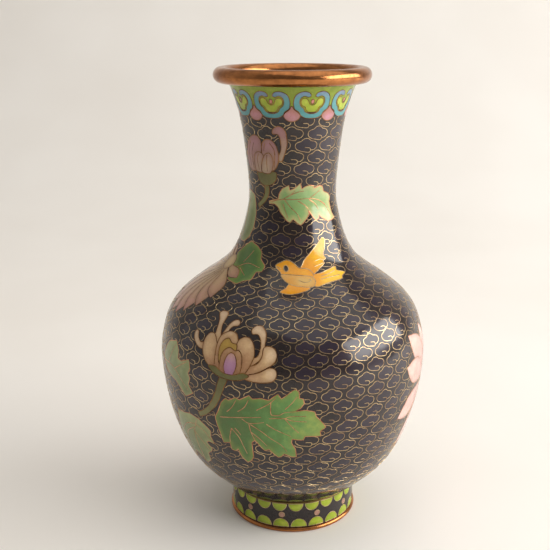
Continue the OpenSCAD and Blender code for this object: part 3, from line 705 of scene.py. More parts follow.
# Chrysanthemum from back to front: stem, curled petals, broad petals, lobes of the bowl,
# heart, the small petals before it, and the base
MUM_STEM = ribbon(
    [[-1.5, -4], [-3.4, -8.5], [-4.8, -12.5], [-7.6, -17.8], [-12, -22.6], [-16.5, -25.4]],
    3.8, 2.2
)
MUM = [MUM_STEM] + [loop(points) for points in [
    [[-13, 5], [-16, 4.5], [-19, 6.5], [-20.3, 9.5], [-19.3, 11.3], [-18, 10.8], [-17.5, 9],
     [-15.5, 7], [-13, 7.5]],
    [[-8.5, 9], [-8.8, 14], [-9, 18], [-10.3, 21], [-9, 22.4], [-6.3, 22], [-6, 20], [-6.6, 17],
     [-6.2, 13], [-5.5, 9]],
    [[-5.5, 11], [-4.2, 15.5], [-2.5, 18.5], [-0.5, 19.6], [1, 18.5], [0.6, 17], [-1.5, 16.3],
     [-2.8, 14], [-2, 11]],
    [[8.5, 1], [12, 3], [13.8, 6], [14, 10.5], [13.2, 15], [10.5, 18], [8, 17.8], [7, 16],
     [7.8, 14.2], [10, 14.2], [11.8, 12], [12.4, 9], [11.8, 5.5], [9, 4]],
    [[13.8, 9], [15.5, 9.8], [18, 9], [19.6, 6.5], [19, 3.5], [16, 1], [12, -1.2], [8, -2.5],
     [8, 0.5], [12, 2.5], [13.6, 5.5]],
    [[8, -2.5], [13, -1], [17, 1.2], [19.5, 0.8], [20.4, -1.5], [19, -4], [15, -4.9], [10, -4.8],
     [6, -3.5]],
    [[-7, -2], [-11, -0.5], [-13.3, 2.5], [-14, 6], [-13.3, 9.5], [-11.5, 11.7], [-9.5, 12],
     [-8, 10.5], [-6, 6], [-5, 1]],
    [[-6.5, -2], [-7, 4], [-6.7, 8.5], [-5.5, 12], [-2, 14.2], [1, 13.5], [2.2, 11.5], [3, 9],
     [3, 5], [0, 0], [-3, -2]],
    [[2.2, 9], [3, 11.5], [5, 12.7], [7.5, 12.2], [9.6, 9.5], [10.5, 6], [9.8, 3], [8.5, 0],
     [7, -2], [4, -2.5], [3, 3]],
    [[-5.2, 2], [-5.3, 7], [-3.8, 10.2], [-1.8, 11.2], [0, 9.6], [2.4, 9], [2, 5], [-1, 2],
     [-4, 0]],
    [[-4, -2.5], [-4.2, 3], [-3, 6], [-0.5, 7.6], [2, 6.6], [3.6, 7], [5.2, 5], [5.6, 1.5],
     [5, -2], [2, -4]],
    [[-2.4, -1], [-2.1, 2], [-1, 4.6], [0.6, 5.6], [2.2, 4.8], [3.2, 2], [3, -1], [1.5, -3.5],
     [-1, -3.5]],
    [[-10, -1.5], [-6.5, -1], [-2.5, -3], [2, -3.2], [6.5, -1.8], [9, -2.8], [7, -4.3], [3, -5.4],
     [-3, -5.2], [-7.5, -3.8]],
]]

BELLY_LEAF = lobed([
    [-23.6, 1.5], [-21.9, 4.7], [-20.8, 7.4], [-20.1, 9.3], [-17.9, 11.7], [-16.6, 10.9],
    [-13.4, 12.8], [-11.5, 12.1], [-7.3, 14.7], [-6, 13.2], [-2.3, 13.9], [0.9, 13.2],
    [3, 15.1], [4.6, 16.3], [5.9, 14.1], [8.2, 15.9], [10.2, 17.6], [11.5, 18.4], [13, 17.3],
    [13.1, 14.4], [14.7, 14.2], [15.1, 12.1], [13.7, 10.2], [11.3, 8.6], [15.3, 9.2], [19.3, 8.2],
    [19.8, 6], [21.8, 3.7], [23.8, 0.6], [21.3, -1.2], [21.7, -3.6], [15.1, -3.3], [14.4, -5.1],
    [12.2, -5], [9.8, -4.5], [9.5, -6.5], [11, -9.7], [11.2, -13.9], [9.4, -14],
    [6.2, -12.3], [5.1, -13.9], [3.8, -14.4], [2, -12.7], [0.1, -10.3], [-1.7, -11.2],
    [-3.2, -9.5], [-5.6, -6.2], [-7, -7.7], [-6.8, -15.6], [-8, -17.9], [-9.7, -19.3],
    [-12.2, -16.5], [-13.6, -12.3], [-14.6, -14], [-16.6, -13.4], [-17.2, -9.8], [-20.3, -10.9],
    [-21.4, -6.7], [-22.9, -1.9],
])
BELLY_VEINS = [
    [[-21, 2.2], [-11.6, 3.9], [-7.2, 4.6], [-2.5, 5.3]],
    [[0.8, 5], [4, 5.3], [7.2, 5.4], [9.3, 6.3], [15.7, 6.3]],
    [[7.2, 5.3], [10.4, 4.3], [16, 3.7]],
    [[7.2, 5.1], [10, 1.4], [12.7, -1.5]],
    [[-10.8, 3.4], [-7.7, 1.8], [-1.4, 3]],
    [[-0.4, 2.3], [2.6, 0.2], [4.8, -0.9], [9.4, -3.2]],
    [[-7.8, 1.4], [-7.1, -2.4], [-5.6, -6.2]],
    [[-7.1, 1.3], [-2.4, -1.7], [0.8, -4.4], [5.2, -7.7], [7.5, -11]],
    [[-7, -2.4], [-3.6, -5.2], [-0.6, -8.6]],
    [[-15.8, -2.1], [-16.9, -6.5], [-17, -9.5]],
    [[-15.8, -2.1], [-12.6, -6], [-11.1, -9.8], [-9.5, -14.2]],
    [[-14.2, -1.7], [-12.9, -3], [-11.7, -4.7]],
    [[1.7, 12.6], [1.5, 9], [1.9, 6.8], [4.9, 6.8], [7.3, 8.1], [11.3, 8.5]],
    [[-4.4, 8.3], [0.9, 11.7], [3.8, 14.6]],
    [[7.4, 9.6], [10, 12.2], [12.2, 15.2]],
    [[-17.5, 5.5], [-15, 8.2], [-13.2, 11.4]],
    [[-12.5, 6.5], [-9.5, 9], [-7.6, 12.6]],
]
NECK_LEAF = lobed([
    [-16.4, 0.5], [-13.6, 1.3], [-12, 1.7], [-11.7, 3.8], [-10.5, 6], [-7.5, 7.7], [-7.2, 5.4],
    [-5, 6.3], [-2.7, 8.6], [-2.2, 5.8], [-0.8, 6.9], [1, 7.5], [3, 7.1], [3.4, 6],
    [6.4, 7], [7.8, 6.2], [8.4, 4.2], [11.5, 2.9], [12.9, 1.3], [12.2, -0.6], [12.7, -2.9],
    [13.9, -6], [15.6, -8.1], [12.7, -8.7], [10.5, -8.9], [6.6, -6.6], [5.8, -5.4], [5.3, -7.1],
    [3.9, -8], [2.2, -5.7], [0.6, -3], [0.9, -4.8], [-0.1, -6.4], [-1.6, -8], [-3, -9.4],
    [-4.6, -8.3], [-6.1, -6.6], [-7.5, -8.3], [-9.1, -7.1], [-10.3, -5.4], [-11.5, -3.8],
    [-12.3, -1.8], [-13.7, -0.6], [-16.3, -0.6],
])
NECK_VEINS = [
    [[-15.6, 0], [-11.8, 1.3], [-4.1, 1.6], [1.1, 1.7], [5.5, 0.8], [9.3, -1.5]],
    [[-10, 1.6], [-6.6, 3.5], [-2.9, 4.9], [-1.2, 5]],
    [[-6.6, 3.7], [-5, 5.2]],
    [[1.1, 1.7], [3.9, 3.4], [7, 5.3]],
    [[-3.7, 0.9], [-0.8, -1], [0.5, -2.6]],
    [[-9.2, 1.2], [-6.7, -2], [-4.3, -4.5], [-3, -7.5]],
    [[-10.1, -0.4], [-9.3, -2.9], [-8.3, -6.2]],
    [[1.1, 1.3], [3.9, -0.8], [5.4, -3.2]],
    [[6.5, 0.2], [9.3, -1.9], [12.4, -6.3]],
]
UPPER_LEAF = lobed([
    [-9, 5], [-6.1, 10], [-3.2, 13.2], [3.9, 15.5], [7.2, 12.1], [7.3, 8.5], [10.7, 8.3],
    [15.4, 10.5], [16.8, 7], [15.5, 4.5], [16.9, 2.6], [15.5, -0.5], [18.1, -3.9], [12.5, -7.1],
    [9.1, -4.5], [5.1, -2.2], [0.5, -1.5], [-5, 0],
])
UPPER_VEINS = [[[-7, 3.5], [4, 3.5], [15, -3.5]], [[-2, 3.8], [4, 14]], [[5, 3.4], [14, 9]]]
LOWER_LEAF = lobed([
    [-10.7, 11.2], [-5, 11.8], [1, 13.4], [6.9, 12.6], [9.6, 11], [13, 8.6], [12, 5.5],
    [13.1, 1.9], [9.8, 2.3], [8.2, 1.2], [10.5, -1.5], [9.4, -3.3], [6.5, -5.5], [6, -10],
    [1.3, -13.7], [-0.6, -10.9], [-5.2, -9], [-7, -14], [-11, -12], [-11, -5], [-15, -2],
    [-13, 4],
])
LOWER_VEINS = [
    [[5, 11.5], [1, 3], [1, -11]], [[4, 9], [9, 7], [12, 3]], [[1, 5], [5, 1], [8.5, -3]],
    [[1.5, 6.5], [-6, 1], [-9, -10]], [[3, 9], [-4, 6.5], [-12, -1]],
]
SLIM_LEAF = lobed([
    [-1.5, 13.6], [2.4, 12.4], [4, 8.5], [5.2, 4], [5.4, -2], [4, -6.2], [1.2, -8.8], [-3, -9],
    [-7, -7], [-10, -2], [-9.5, 3], [-11, 7], [-7, 9.5], [-6, 13],
])
SLIM_VEINS = [[[-3, -7.5], [-3.5, 0], [-2, 10]]]
SHOULDER_LEAF = lobed([
    [-4.7, 5.9], [0.1, 10.8], [2.9, 12.7], [7.2, 11.2], [10.3, 9], [11.3, 5.9], [14.9, 3.1],
    [15.4, 0.2], [12.8, -0.2], [13.9, -4.5], [10.9, -5.8], [9, -8], [2, -7], [-3, -1],
])
SHOULDER_VEINS = [[[1, 0], [6, 3], [13, 2]], [[3, 3], [6, 9]], [[3.5, 0], [9, -3]]]

# Bud from back to front: stem, calyx, hooked petal, then the four petals of the bud
BUD_STEM = ribbon(
    [[0.5, -8], [0.5, -12], [-0.9, -15.2], [-4.2, -18.4]], 2.4, 2
)
BUD = [BUD_STEM] + [loop(points) for points in [
    [[-4.5, -3.4], [0, -3], [5.2, -3.2], [5.3, -6], [3.8, -8], [1.2, -9.2], [-1.5, -9],
     [-3.8, -7]],
    [[6.5, 2.5], [8, 6], [8.3, 10], [7.5, 12.7], [5.2, 13.2], [5.5, 15], [8, 16.4], [10.3, 15],
     [11, 12], [10.8, 8], [9.3, 4], [8, 1.5]],
    [[-5, -3], [-9, -3.5], [-12, -1], [-12, 4], [-10, 8.5], [-6.5, 11.5], [-3, 11.8], [-1, 9.5],
     [-1.5, 4]],
    [[-2, -3], [-1, 4], [-0.5, 8.5], [1.5, 10.5], [4, 10.5], [6.2, 8], [7, 4], [6.5, 1],
     [5, -1.8], [2, -3.5]],
    [[-5, -3.5], [-6, 0], [-5.5, 3.5], [-3, 5], [-1, 4.5], [0.5, 2], [0, -3]],
    [[-1.5, -3.5], [-1.5, 0], [0.5, 4], [2.8, 4.8], [4.2, 2.5], [4, -1], [2.5, -3.8]],
]]

BUD_CREASES = [
    [[-5.4, 8.6], [-7.4, 3.9], [-6.8, -2.4]],
    [[-7.6, 9.4], [-9.9, 3.9], [-8.6, -1.8]],
    [[3.3, 9.2], [5.2, 6], [5, 1.2], [4.6, -1.6]],
    [[0.9, 8.9], [0.2, 5.6]],
    [[-3, 4.2], [-3.9, 1.4], [-3.2, -2.8]],
    [[1.6, 4], [1.2, 0.6], [1.2, -3]],
]

# Bird from back to front: raised wing, tail, lower wing, head and back, breast, eye
BIRD = [
    loop([[-2, 2], [-0.8, 4], [0.5, 6.5], [4, 10], [7, 13], [9.3, 15.2], [10.6, 14],
          [10, 10.5], [9.3, 8], [10.2, 6.2], [8.8, 5.4], [9.2, 4.2], [7, 2.4], [5.5, 1],
          [3, -0.6], [0, 0]], 3),
    loop([[2, -1], [7, 0], [11, 1.2], [14.8, 2], [15, 0.2], [19.5, -1.8], [17.3, -3.2],
          [17, -4.4], [13, -4.9], [8.5, -5.6], [4, -6.8], [2, -4]], 3),
    loop([[-6.5, -4.5], [-9, -7], [-11.6, -9.2], [-8, -10.2], [-4, -9.6], [1, -7.6], [0, -5.5]]),
    loop([[-12, 3.7], [-9.5, 5.4], [-7, 6.4], [-4.5, 5.4], [-2, 3], [1, 2.5], [3, 1],
          [3.5, -1.5], [-2, -1.5], [-9.5, -0.8], [-10.3, 1]], 4),
    loop([[-10, -0.4], [-5, -0.3], [-1, -0.7], [2.8, -1.6], [4, -4], [2.5, -6.6], [-3, -6.2],
          [-7, -5], [-9, -3]]),
    oval(-7.6, 2.7, 1, 1.4),
]
# Feather marks: short wires inside the bird's cells
BIRD_MARKS = [
    [[5, 5.6], [7.5, 6.2], [9.2, 5.7]], [[4.6, 3.2], [7, 3.9], [8.8, 4.4]],
    [[-3, -3], [-0.5, -4.2], [2.3, -3.3], [1.2, -2.6]],
    [[7, -1.6], [11, -0.8], [14, 0.4]], [[6.5, -3.2], [11, -2.6], [16, -2.4]],
    [[-11.8, 3.4], [-10.6, 3.1], [-9.8, 2.4]],
]

HEAD = loop(both_sides([
    [0, -4.7], [2.8, -4.4], [4.6, -3.2], [5.4, -1.9], [7.2, -0.6], [7.9, 2.3], [7.2, 5.3],
    [4.6, 6.8], [2, 6.4], [0.9, 4.9], [2, 4.3], [3.6, 4.8], [5, 4], [5.4, 2.2], [4.7, 0.5],
    [3.5, -0.5], [2.9, -1.7], [1.5, -2.5], [0, -2.7],
]), 4)
HEART = loop(both_sides([
    [0, -2.1], [1.5, -1.9], [2.5, -1], [3.1, 0.2], [4.3, 0.9], [4.9, 2.3], [4.4, 3.6],
    [3.1, 3.9], [2, 3.1], [1.2, 1.5], [0, 0.9],
]), 4)
BEAD_LOOP = oval(0, 2.4, 0.7, 1)
COLLAR_PETAL = loop(
    both_sides([
        [0, -6], [1.9, -5.5], [3.2, -4.2], [3.3, -3.1], [2.4, -2.1], [0.9, -0.8], [0, 0.6],
    ]), 4
)

# Flowers: the direction and length of each petal
SIDE_PETALS = [[108, 27.5], [134, 34.5], [158, 32], [200, 33], [238, 36]]
SIDE_PETALS += [[270 + 27.5 * i, 33] for i in range(7)]
SHOULDER_PETALS = [
    [112, 9], [150, 16], [176, 22], [-166, 29], [-150, 34], [-134, 36], [-119, 36], [-105, 35],
    [-93, 33], [-81, 30], [-68, 27], [-55, 23], [-22, 15],
]


def flower(petals, fullness, disc):
    return [petal(length, fullness * length, turn) for turn, length in petals] + [
        oval(0, 0, disc, disc)
    ]


def scallop(width, rise, steps=16):
    a = np.arange(steps + 1) * math.pi / steps
    return spread(np.stack([width / 2 * np.cos(a), rise * np.sin(a)], axis=1), 0.6)


SIDE_FLOWER = flower(SIDE_PETALS, 0.36, 6)
SHOULDER_FLOWER = flower(SHOULDER_PETALS, 0.34, 4)

# One strip of wire bent into a cloud, which starts with a hook inside it
HOOK_END = 5
CLOUD = np.array([
    [-0.6, -0.8], [0.6, -0.85], [1.5, -1.1], [1.75, -2], [1.1, -2.7], [-0.6, -2.5],
    [-2.3, -2.2], [-3.7, -1.5], [-4.3, -0.3], [-3.9, 0.9], [-2.9, 1.4], [-2, 1.75],
    [-1.4, 2.4], [-0.3, 2.9], [0.9, 2.7], [1.7, 2], [2.8, 1.8], [3.9, 1.2], [4.3, 0.3],
    [3.9, -1], [2.9, -1.7], [1.9, -1.8],
])

# ---------- where each drawing lies ----------


def ring_of(skin, count, shift, z):
    """Anchors at one height, evenly spaced round the axis from a share of a step."""
    return [Anchor(skin, 360 / count * (i + shift), z) for i in range(count)]


MUM_AT = Anchor(BODY, -26, 0.44 * VASE_H)
BELLY_LEAVES_AT = [Anchor(BODY, -10, 0.317 * VASE_H), Anchor(BODY, 150, 0.26 * VASE_H)]
SIDE_FLOWERS_AT = [Anchor(BODY, 83, 0.342 * VASE_H), Anchor(BODY, 222, 0.34 * VASE_H)]
SHOULDER_AT = Anchor(BODY, -69, 0.597 * VASE_H)
SHOULDER_LEAF_AT = Anchor(BODY, -56, 0.595 * VASE_H)
BUD_AT = Anchor(BODY, -36, 0.81 * VASE_H)
NECK_LEAVES_AT = [Anchor(BODY, 18, 0.7317 * VASE_H), Anchor(BODY, 192, 0.7317 * VASE_H)]
BIRD_AT = Anchor(BODY, 10, 0.595 * VASE_H)
SIDE_LEAVES_AT = [
    (Anchor(BODY, -62, 0.38 * VASE_H), UPPER_LEAF, UPPER_VEINS),
    (Anchor(BODY, -50, 0.244 * VASE_H), LOWER_LEAF, LOWER_VEINS),
    (Anchor(BODY, -66, 0.683 * VASE_H), SLIM_LEAF, SLIM_VEINS),
    (Anchor(BODY, -86, 0.235 * VASE_H), LOWER_LEAF, LOWER_VEINS),
]
COLLAR_COUNT, HANGING_COUNT, RISING_COUNT = 9, 24, 22
COLLAR_LEVEL = 0.927 * VASE_H
HEADS_AT = ring_of(BODY, COLLAR_COUNT, 0.48, COLLAR_LEVEL)
BETWEEN_AT = ring_of(BODY, COLLAR_COUNT, -0.02, COLLAR_LEVEL)
HANGING = scallop(2 * math.pi * FOOT_R / HANGING_COUNT - 0.95, -3.6)
RISING = scallop(2 * math.pi * FOOT_R / RISING_COUNT - 0.95, 4)
DOT = oval(0, 0, 1.3, 1.3)
HANGING_AT = ring_of(FOOT, HANGING_COUNT, 0.2, FOOT_H - JOINT_H - 0.4)
RISING_AT = ring_of(FOOT, RISING_COUNT, 0.35, FOOT_RING_TOP + 0.4)
DOTS_AT = ring_of(FOOT, RISING_COUNT // 2, -0.3, 0.553 * FOOT_H)

# ---------- enamel cells and the wires round them ----------

CELL_TOP = 0.04
CELL_MESH = 1.1
WIRE_W = 0.42
RIGHT, UP = 0, 1
silhouettes = []


def toward(x, y, reach):
    """Tone that grows with the distance from a point."""
    return lambda p: np.hypot(p[:, 0] - x, p[:, 1] - y) / reach


def along(axis, start, reach):
    """Tone that grows to the right or upward from a start."""
    return lambda p: (p[:, axis] - start) / reach


def level(value):
    return lambda p: np.full(len(p), value)


def cells(name, material, slot, parts):
    """One mesh of enamel from (anchor, outlines, chosen, tone), where nearer outlines win."""
    slab = Slab()
    for anchor, outlines, chosen, tone in parts:
        flat, tris, owners = triangles(outlines, CELL_MESH)
        for k in chosen:
            own = tris[owners == k]
            if len(own):
                slab.add(anchor, flat, own, tone, CELL_TOP)
    slab.piece(name, material, slot)


def runs(mask, closed):
    """The stretches of True, as indices, joined across the end of a closed path."""
    n = len(mask)
    if mask.all():
        return [np.arange(n)]
    first = int(np.argmin(mask)) if closed else 0
    order = (np.arange(n) + first) % n
    cuts = np.flatnonzero(~mask[order])
    return [k[mask[k]] for k in np.split(order, cuts) if mask[k].any()]


def outlined(name, material, drawings, width=WIRE_W, veins=(), taper=0.7, steps=6, nearer=()):
    """One mesh of the wires round each (anchor, outlines) and along each (anchor, vein).

    A wire shows where no nearer outline covers it.
    """
    wires = Wires(WIRE_SECTION, width)
    for anchor, outlines in drawings:
        for i, outline in enumerate(outlines):
            seen = np.ones(len(outline), bool)
            for other in [*outlines[i + 1:], *nearer]:
                seen &= ~inside(outline, other)
            points, normals = anchor.place(outline)
            for k in runs(seen, True):
                wires.add(points[k], normals[k], closed=len(k) == len(outline))
            silhouettes.append((anchor, outline))
    for anchor, path in veins:
        points, normals = anchor.place(curve(path, steps))
        wires.add(points, normals, taper=taper)
    wires.piece(name, material)


def build_collar():
    drawing = [HEAD, HEART, BEAD_LOOP]
    rows = [
        ("collar_heads", TURQUOISE, "turquoise_enamel", along(UP, -1.5, 9)),
        ("collar_hearts", LIME, "lime_enamel", along(UP, -5.4, 9)),
        ("collar_beads", BEAD, "pink_enamel", level(0.5)),
    ]
    for i, (name, material, slot, tone) in enumerate(rows):
        cells(name, material, slot, [(a, drawing, [i], tone) for a in HEADS_AT])
    parts = [(a, [COLLAR_PETAL], [0], toward(0, -1, 5)) for a in BETWEEN_AT]
    cells("collar_petals", PINK, "pink_enamel", parts)
    drawings = [(a, drawing) for a in HEADS_AT] + [(a, [COLLAR_PETAL]) for a in BETWEEN_AT]
    outlined("collar_wires", OXIDE_AND_SHADE_WIRE, drawings, width=0.38)


def build_foot_border():
    rows = [
        ("hanging_scallops", LIME, "lime_enamel", HANGING_AT, HANGING, along(RIGHT, -5, 10)),
        ("rising_scallops", LIME, "lime_enamel", RISING_AT, RISING, along(RIGHT, -5, 10)),
        ("foot_dots", DOT_PINK, "pink_enamel", DOTS_AT, DOT, level(0.6)),
    ]
    for name, material, slot, places, outline, tone in rows:
        cells(name, material, slot, [(a, [outline], [0], tone) for a in places])
    drawings = [(a, [outline]) for *_, places, outline, _ in rows for a in places]
    outlined("foot_wires", WIRE, drawings, width=0.32)


def build_bud():
    petals = [([2], toward(8, 2, 14)), ([3, 4, 5, 6], toward(0, -4, 14))]
    parts = [(BUD_AT, BUD, chosen, tone) for chosen, tone in petals]
    cells("bud_petals", MAUVE, "mauve_enamel", parts)
    cells("bud_calyx", OLIVE, "olive_enamel", [(BUD_AT, BUD, [0, 1], toward(0, -3, 12))])
    creases = [(BUD_AT, crease) for crease in BUD_CREASES]
    outlined("bud_wires", OXIDE_AND_SHADE_WIRE, [(BUD_AT, BUD)], veins=creases)


def build_chrysanthemum():
    petals = [1, 2, 3, 4, 5, 6, 7, 8, 9, 11]
    rows = [
        ("petals", CREAM, "cream_enamel", petals, toward(0, -3, 21)),
        ("heart", MUM_HEART, "yellow_enamel", [10], toward(-1, 2, 10)),
        ("centre", LILAC, "mauve_enamel", [12], along(UP, -2.5, 8)),
        ("base", OLIVE, "olive_enamel", [13], level(0.3)),
        ("stem", OLIVE, "olive_enamel", [0], toward(0, 0, 30)),
    ]
    for word, material, slot, chosen, tone in rows:
        cells(f"chrysanthemum_{word}", material, slot, [(MUM_AT, MUM, chosen, tone)])
    outlined("chrysanthemum_wires", OXIDE_AND_SHADE_WIRE, [(MUM_AT, MUM)])


def redrawn(source, outlines, target):
    """A drawing's outlines in the coordinates of another anchor."""
    return [target.drawing(*source.on_skin(outline)) for outline in outlines]


def build_leaf(name, wire_name, material, slot, places, tone, nearer=()):
    """Leaves of one kind from (anchor, outline, veins)."""
    parts = [(anchor, [outline, *nearer], [0], tone) for anchor, outline, _ in places]
    cells(name, material, slot, parts)
    drawings = [(anchor, [outline]) for anchor, outline, _ in places]
    veins = [(anchor, vein) for anchor, _, paths in places for vein in paths]
    outlined(wire_name, VEIN_WIRE, drawings, veins=veins, nearer=nearer)


def build_leaves():
    places = [(a, BELLY_LEAF, BELLY_VEINS) for a in BELLY_LEAVES_AT]
    tone = along(RIGHT, -26, 50)
    build_leaf("belly_leaves", "belly_leaf_wires", GREEN, "green_enamel", places, tone)
    places = [(a, NECK_LEAF, NECK_VEINS) for a in NECK_LEAVES_AT]
    tone = along(RIGHT, -15, 30)
    build_leaf("neck_leaves", "neck_leaf_wires", PALE_GREEN, "pale_green_enamel", places, tone)
    tone = along(UP, -14, 34)
    build_leaf(
        "side_leaves", "side_leaf_wires", SHADE_GREEN, "olive_enamel", SIDE_LEAVES_AT, tone
    )
    places = [(SHOULDER_LEAF_AT, SHOULDER_LEAF, SHOULDER_VEINS)]
    build_leaf(
        "shoulder_leaf", "shoulder_leaf_wires", GREEN, "green_enamel", places,
        toward(0, 0, 30), redrawn(SHOULDER_AT, SHOULDER_FLOWER, SHOULDER_LEAF_AT),
    )


def build_bird():
    plumage = [([0, 1], toward(0, 0, 13)), ([2], level(0.35)), ([3], level(0.45))]
    parts = [(BIRD_AT, BIRD, chosen, tone) for chosen, tone in plumage]
    cells("bird_plumage", ORANGE, "orange_enamel", parts)
    cells("bird_breast", BREAST, "cream_enamel", [(BIRD_AT, BIRD, [4], toward(-7, -3, 9))])
    cells("bird_eye", EYE, "black_enamel", [(BIRD_AT, BIRD, [5], level(0.5))])
    marks = [(BIRD_AT, mark) for mark in BIRD_MARKS]
    outlined("bird_wires", WIRE, [(BIRD_AT, BIRD)], veins=marks, taper=1, steps=5)


def build_flower(name, wire_name, material, slot, wire, anchors, petals, outlines):
    """Open flowers whose tone grows along each petal, round a plain disc."""
    parts = []
    for anchor in anchors:
        for i, (_, length) in enumerate(petals):
            parts.append((anchor, outlines, [i], toward(0, 0, length)))
        parts.append((anchor, outlines, [len(petals)], level(0.1)))
    cells(name, material, slot, parts)
    outlined(wire_name, wire, [(anchor, outlines) for anchor in anchors])


def build_flowers():
    build_flower(
        "side_flowers", "side_flower_wires", ROSE_WHITE, "pink_enamel", VEIN_WIRE,
        SIDE_FLOWERS_AT, SIDE_PETALS, SIDE_FLOWER,
    )
    build_flower(
        "shoulder_flower", "shoulder_flower_wires", SHOULDER_MAUVE, "mauve_enamel", OXIDE_AND_SHADE_WIRE,
        [SHOULDER_AT], SHOULDER_PETALS, SHOULDER_FLOWER,
    )


# ---------- cloud wires ----------

CLOUD_PITCH, ROW_PITCH = 10.2, 5.0
LEAST_PITCH, MOST_PITCH = 9.5, 11.5
FIRST_ROW = 19.0  # up the belly from the foot joint
LAST_ROW = 2.6  # down the neck from the collar
CLOUD_W = 0.37
CLOUD_GROUPS = 4


def covered(az, s):
    """Which points on the body lie under a flower, leaf, bird or collar shape."""
    hit = np.zeros(len(az), bool)
    for anchor, outline in silhouettes:
        if anchor.skin is BODY:
            hit |= inside(anchor.drawing(az, s), outline)
    return hit


def cloud_places():
    """Azimuth, length, scale and turn of every cloud, row by row."""
    places = []
    count = 0
    s = float(BODY.length_at(FOOT_H)) + FIRST_ROW
    top = float(BODY.length_at(COLLAR_Z)) - LAST_ROW
    row = 0
    while s < top:
        girth = 2 * math.pi * float(BODY.radius(s))
        if not count or not LEAST_PITCH < girth / count < MOST_PITCH:
            count = int(round(girth / CLOUD_PITCH))
        for i in range(count):
            az = (i + 0.5 * (row % 2) + RNG.uniform(-0.03, 0.03)) * 2 * math.pi / count
            scale = girth / count / CLOUD_PITCH * RNG.uniform(0.95, 1.02)
            places.append((az, s + RNG.uniform(-0.15, 0.15), scale, RNG.uniform(-0.07, 0.07)))
        s += ROW_PITCH
        row += 1
    return places


def build_clouds():
    """Bent wires in rows. A cloud that nothing covers is filled with its own dark enamel."""
    path = curve(CLOUD, 2)
    flat, tris, _ = triangles([spread(CLOUD[HOOK_END:], 2.0)], 1.7)
    wires = [Wires(CLOUD_SECTION, CLOUD_W) for _ in range(CLOUD_GROUPS)]
    fill = Slab()
    places = cloud_places()
    for number, (az0, s0, scale, turn) in enumerate(places):
        c, n = math.cos(turn), math.sin(turn)
        spin = np.array([[c, n], [-n, c]])
        size = np.array([scale, 0.5 + 0.5 * scale])
        anchor = Anchor(BODY, 0, 0)
        anchor.az, anchor.s = az0, s0
        az, s = anchor.on_skin((path * size) @ spin)
        clear = ~covered(az, s)
        if not clear.any():
            continue
        points, normals = BODY.place(az, s)
        share = wires[number * CLOUD_GROUPS // len(places)]
        for k in runs(clear, False):
            if len(k) > 4:
                share.add(points[k], normals[k])
        if clear.all():
            tone = level(RNG.uniform(0.1, 0.9))
            fill.add(anchor, (flat * size) @ spin, tris, tone, 0.02, -0.1)
    for k, group in enumerate(wires):
        group.piece(f"cloud_wires_{k + 1}", WIRE)
    fill.piece("cloud_enamel", CLOUD_BLACK, "black_enamel")


# ---------- metal, linings and grounds ----------


def circle_section(r0, z0, radius, steps):
    a = np.arange(steps) * 2 * math.pi / steps
    return np.stack([r0 + radius * np.sin(a), z0 + radius * np.cos(a)], axis=1)


def build_rings():
    def uneven(az, z):
        return 0.05 * np.sin(3 * az + 0.4) + 0.03 * np.sin(7 * az + z)

    section = circle_section(RIM_R, RIM_Z, RIM_ROLL, 48)
    turned("rim_ring", GILT, "gilt", section, wobble=uneven)

    inner, outer = FOOT_R - ENAMEL_T, FOOT_R + 0.75
    z0, z1, soft = FOOT_H - JOINT_H, FOOT_H, 0.25
    section = [
        [inner, z0], [outer - soft, z0], [outer, z0 + soft], [outer, z1 - soft],
        [outer - soft, z1], [inner, z1],
    ]
    # The joint ring's gilt carries painted shade for the shadow under the belly
    turned("foot_joint_ring", JOINT_GILT_PAINTED_SHADE, "gilt", section, sharp=60)

    centre = FOOT_R - 0.2
    radius = FOOT_RING_R - centre
    height = FOOT_RING_TOP - radius
    circle = circle_section(centre, height, radius, 32)
    bulge = [p for p in circle if p[0] >= centre and p[1] > 0]
    land = centre + math.sqrt(max(radius**2 - height**2, 0))
    section = [[inner, FOOT_RING_TOP - 0.4], *bulge, [land, 0], [inner, 0]]
    turned("foot_ring", GILT, "gilt", section, sharp=50)


def build_grounds():
    rows = [
        ("belly_ground", BODY, FOOT_H, GROUND_SEAM_Z, BLACK, "black_enamel"),
        ("neck_ground", BODY, GROUND_SEAM_Z, COLLAR_Z, BLACK, "black_enamel"),
        ("collar_ground", BODY, COLLAR_Z, COLLAR_TOP_Z, LIME_GROUND, "lime_enamel"),
        ("foot_ground", FOOT, FOOT_RING_TOP, FOOT_H - JOINT_H, BLACK, "black_enamel"),
    ]
    for name, skin, z0, z1, material, slot in rows:
        turned(name, material, slot, layer_section(skin, z0, z1, 0, ENAMEL_T))


def build_linings():
    d0 = ENAMEL_T + COPPER_T
    d1 = d0 + LINING_IN
    section = layer_section(BODY, SHOULDER_SEAM_Z, COLLAR_TOP_Z, d0, d1)
    turned("neck_lining", LINING, "lining_enamel", section, around=192)
    wall = layer_section(BODY, FOOT_H + 0.4, SHOULDER_SEAM_Z, d0, d1)
    corner = wall[0][0] - 3
    under = [[0, FOOT_H], [corner, FOOT_H]]
    floor = [[corner, FOOT_H + LINING_IN], [0, FOOT_H + LINING_IN]]
    section = np.vstack([under, wall, floor])
    turned("belly_lining", LINING, "lining_enamel", section, around=192, closed=False)


def paint_cad():
    """The hidden copper shells and the enamel under the floor keep their CAD shape."""
    kept = {
        "neck_shell": COPPER, "upper_belly_shell": COPPER, "lower_belly_shell": COPPER,
        "foot_shell": COPPER, "base_enamel": LINING,
    }
    for node, material in kept.items():
        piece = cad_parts[node]
        piece.data.materials.clear()
        piece.data.materials.append(material)


# ---------- stage, lights and camera ----------


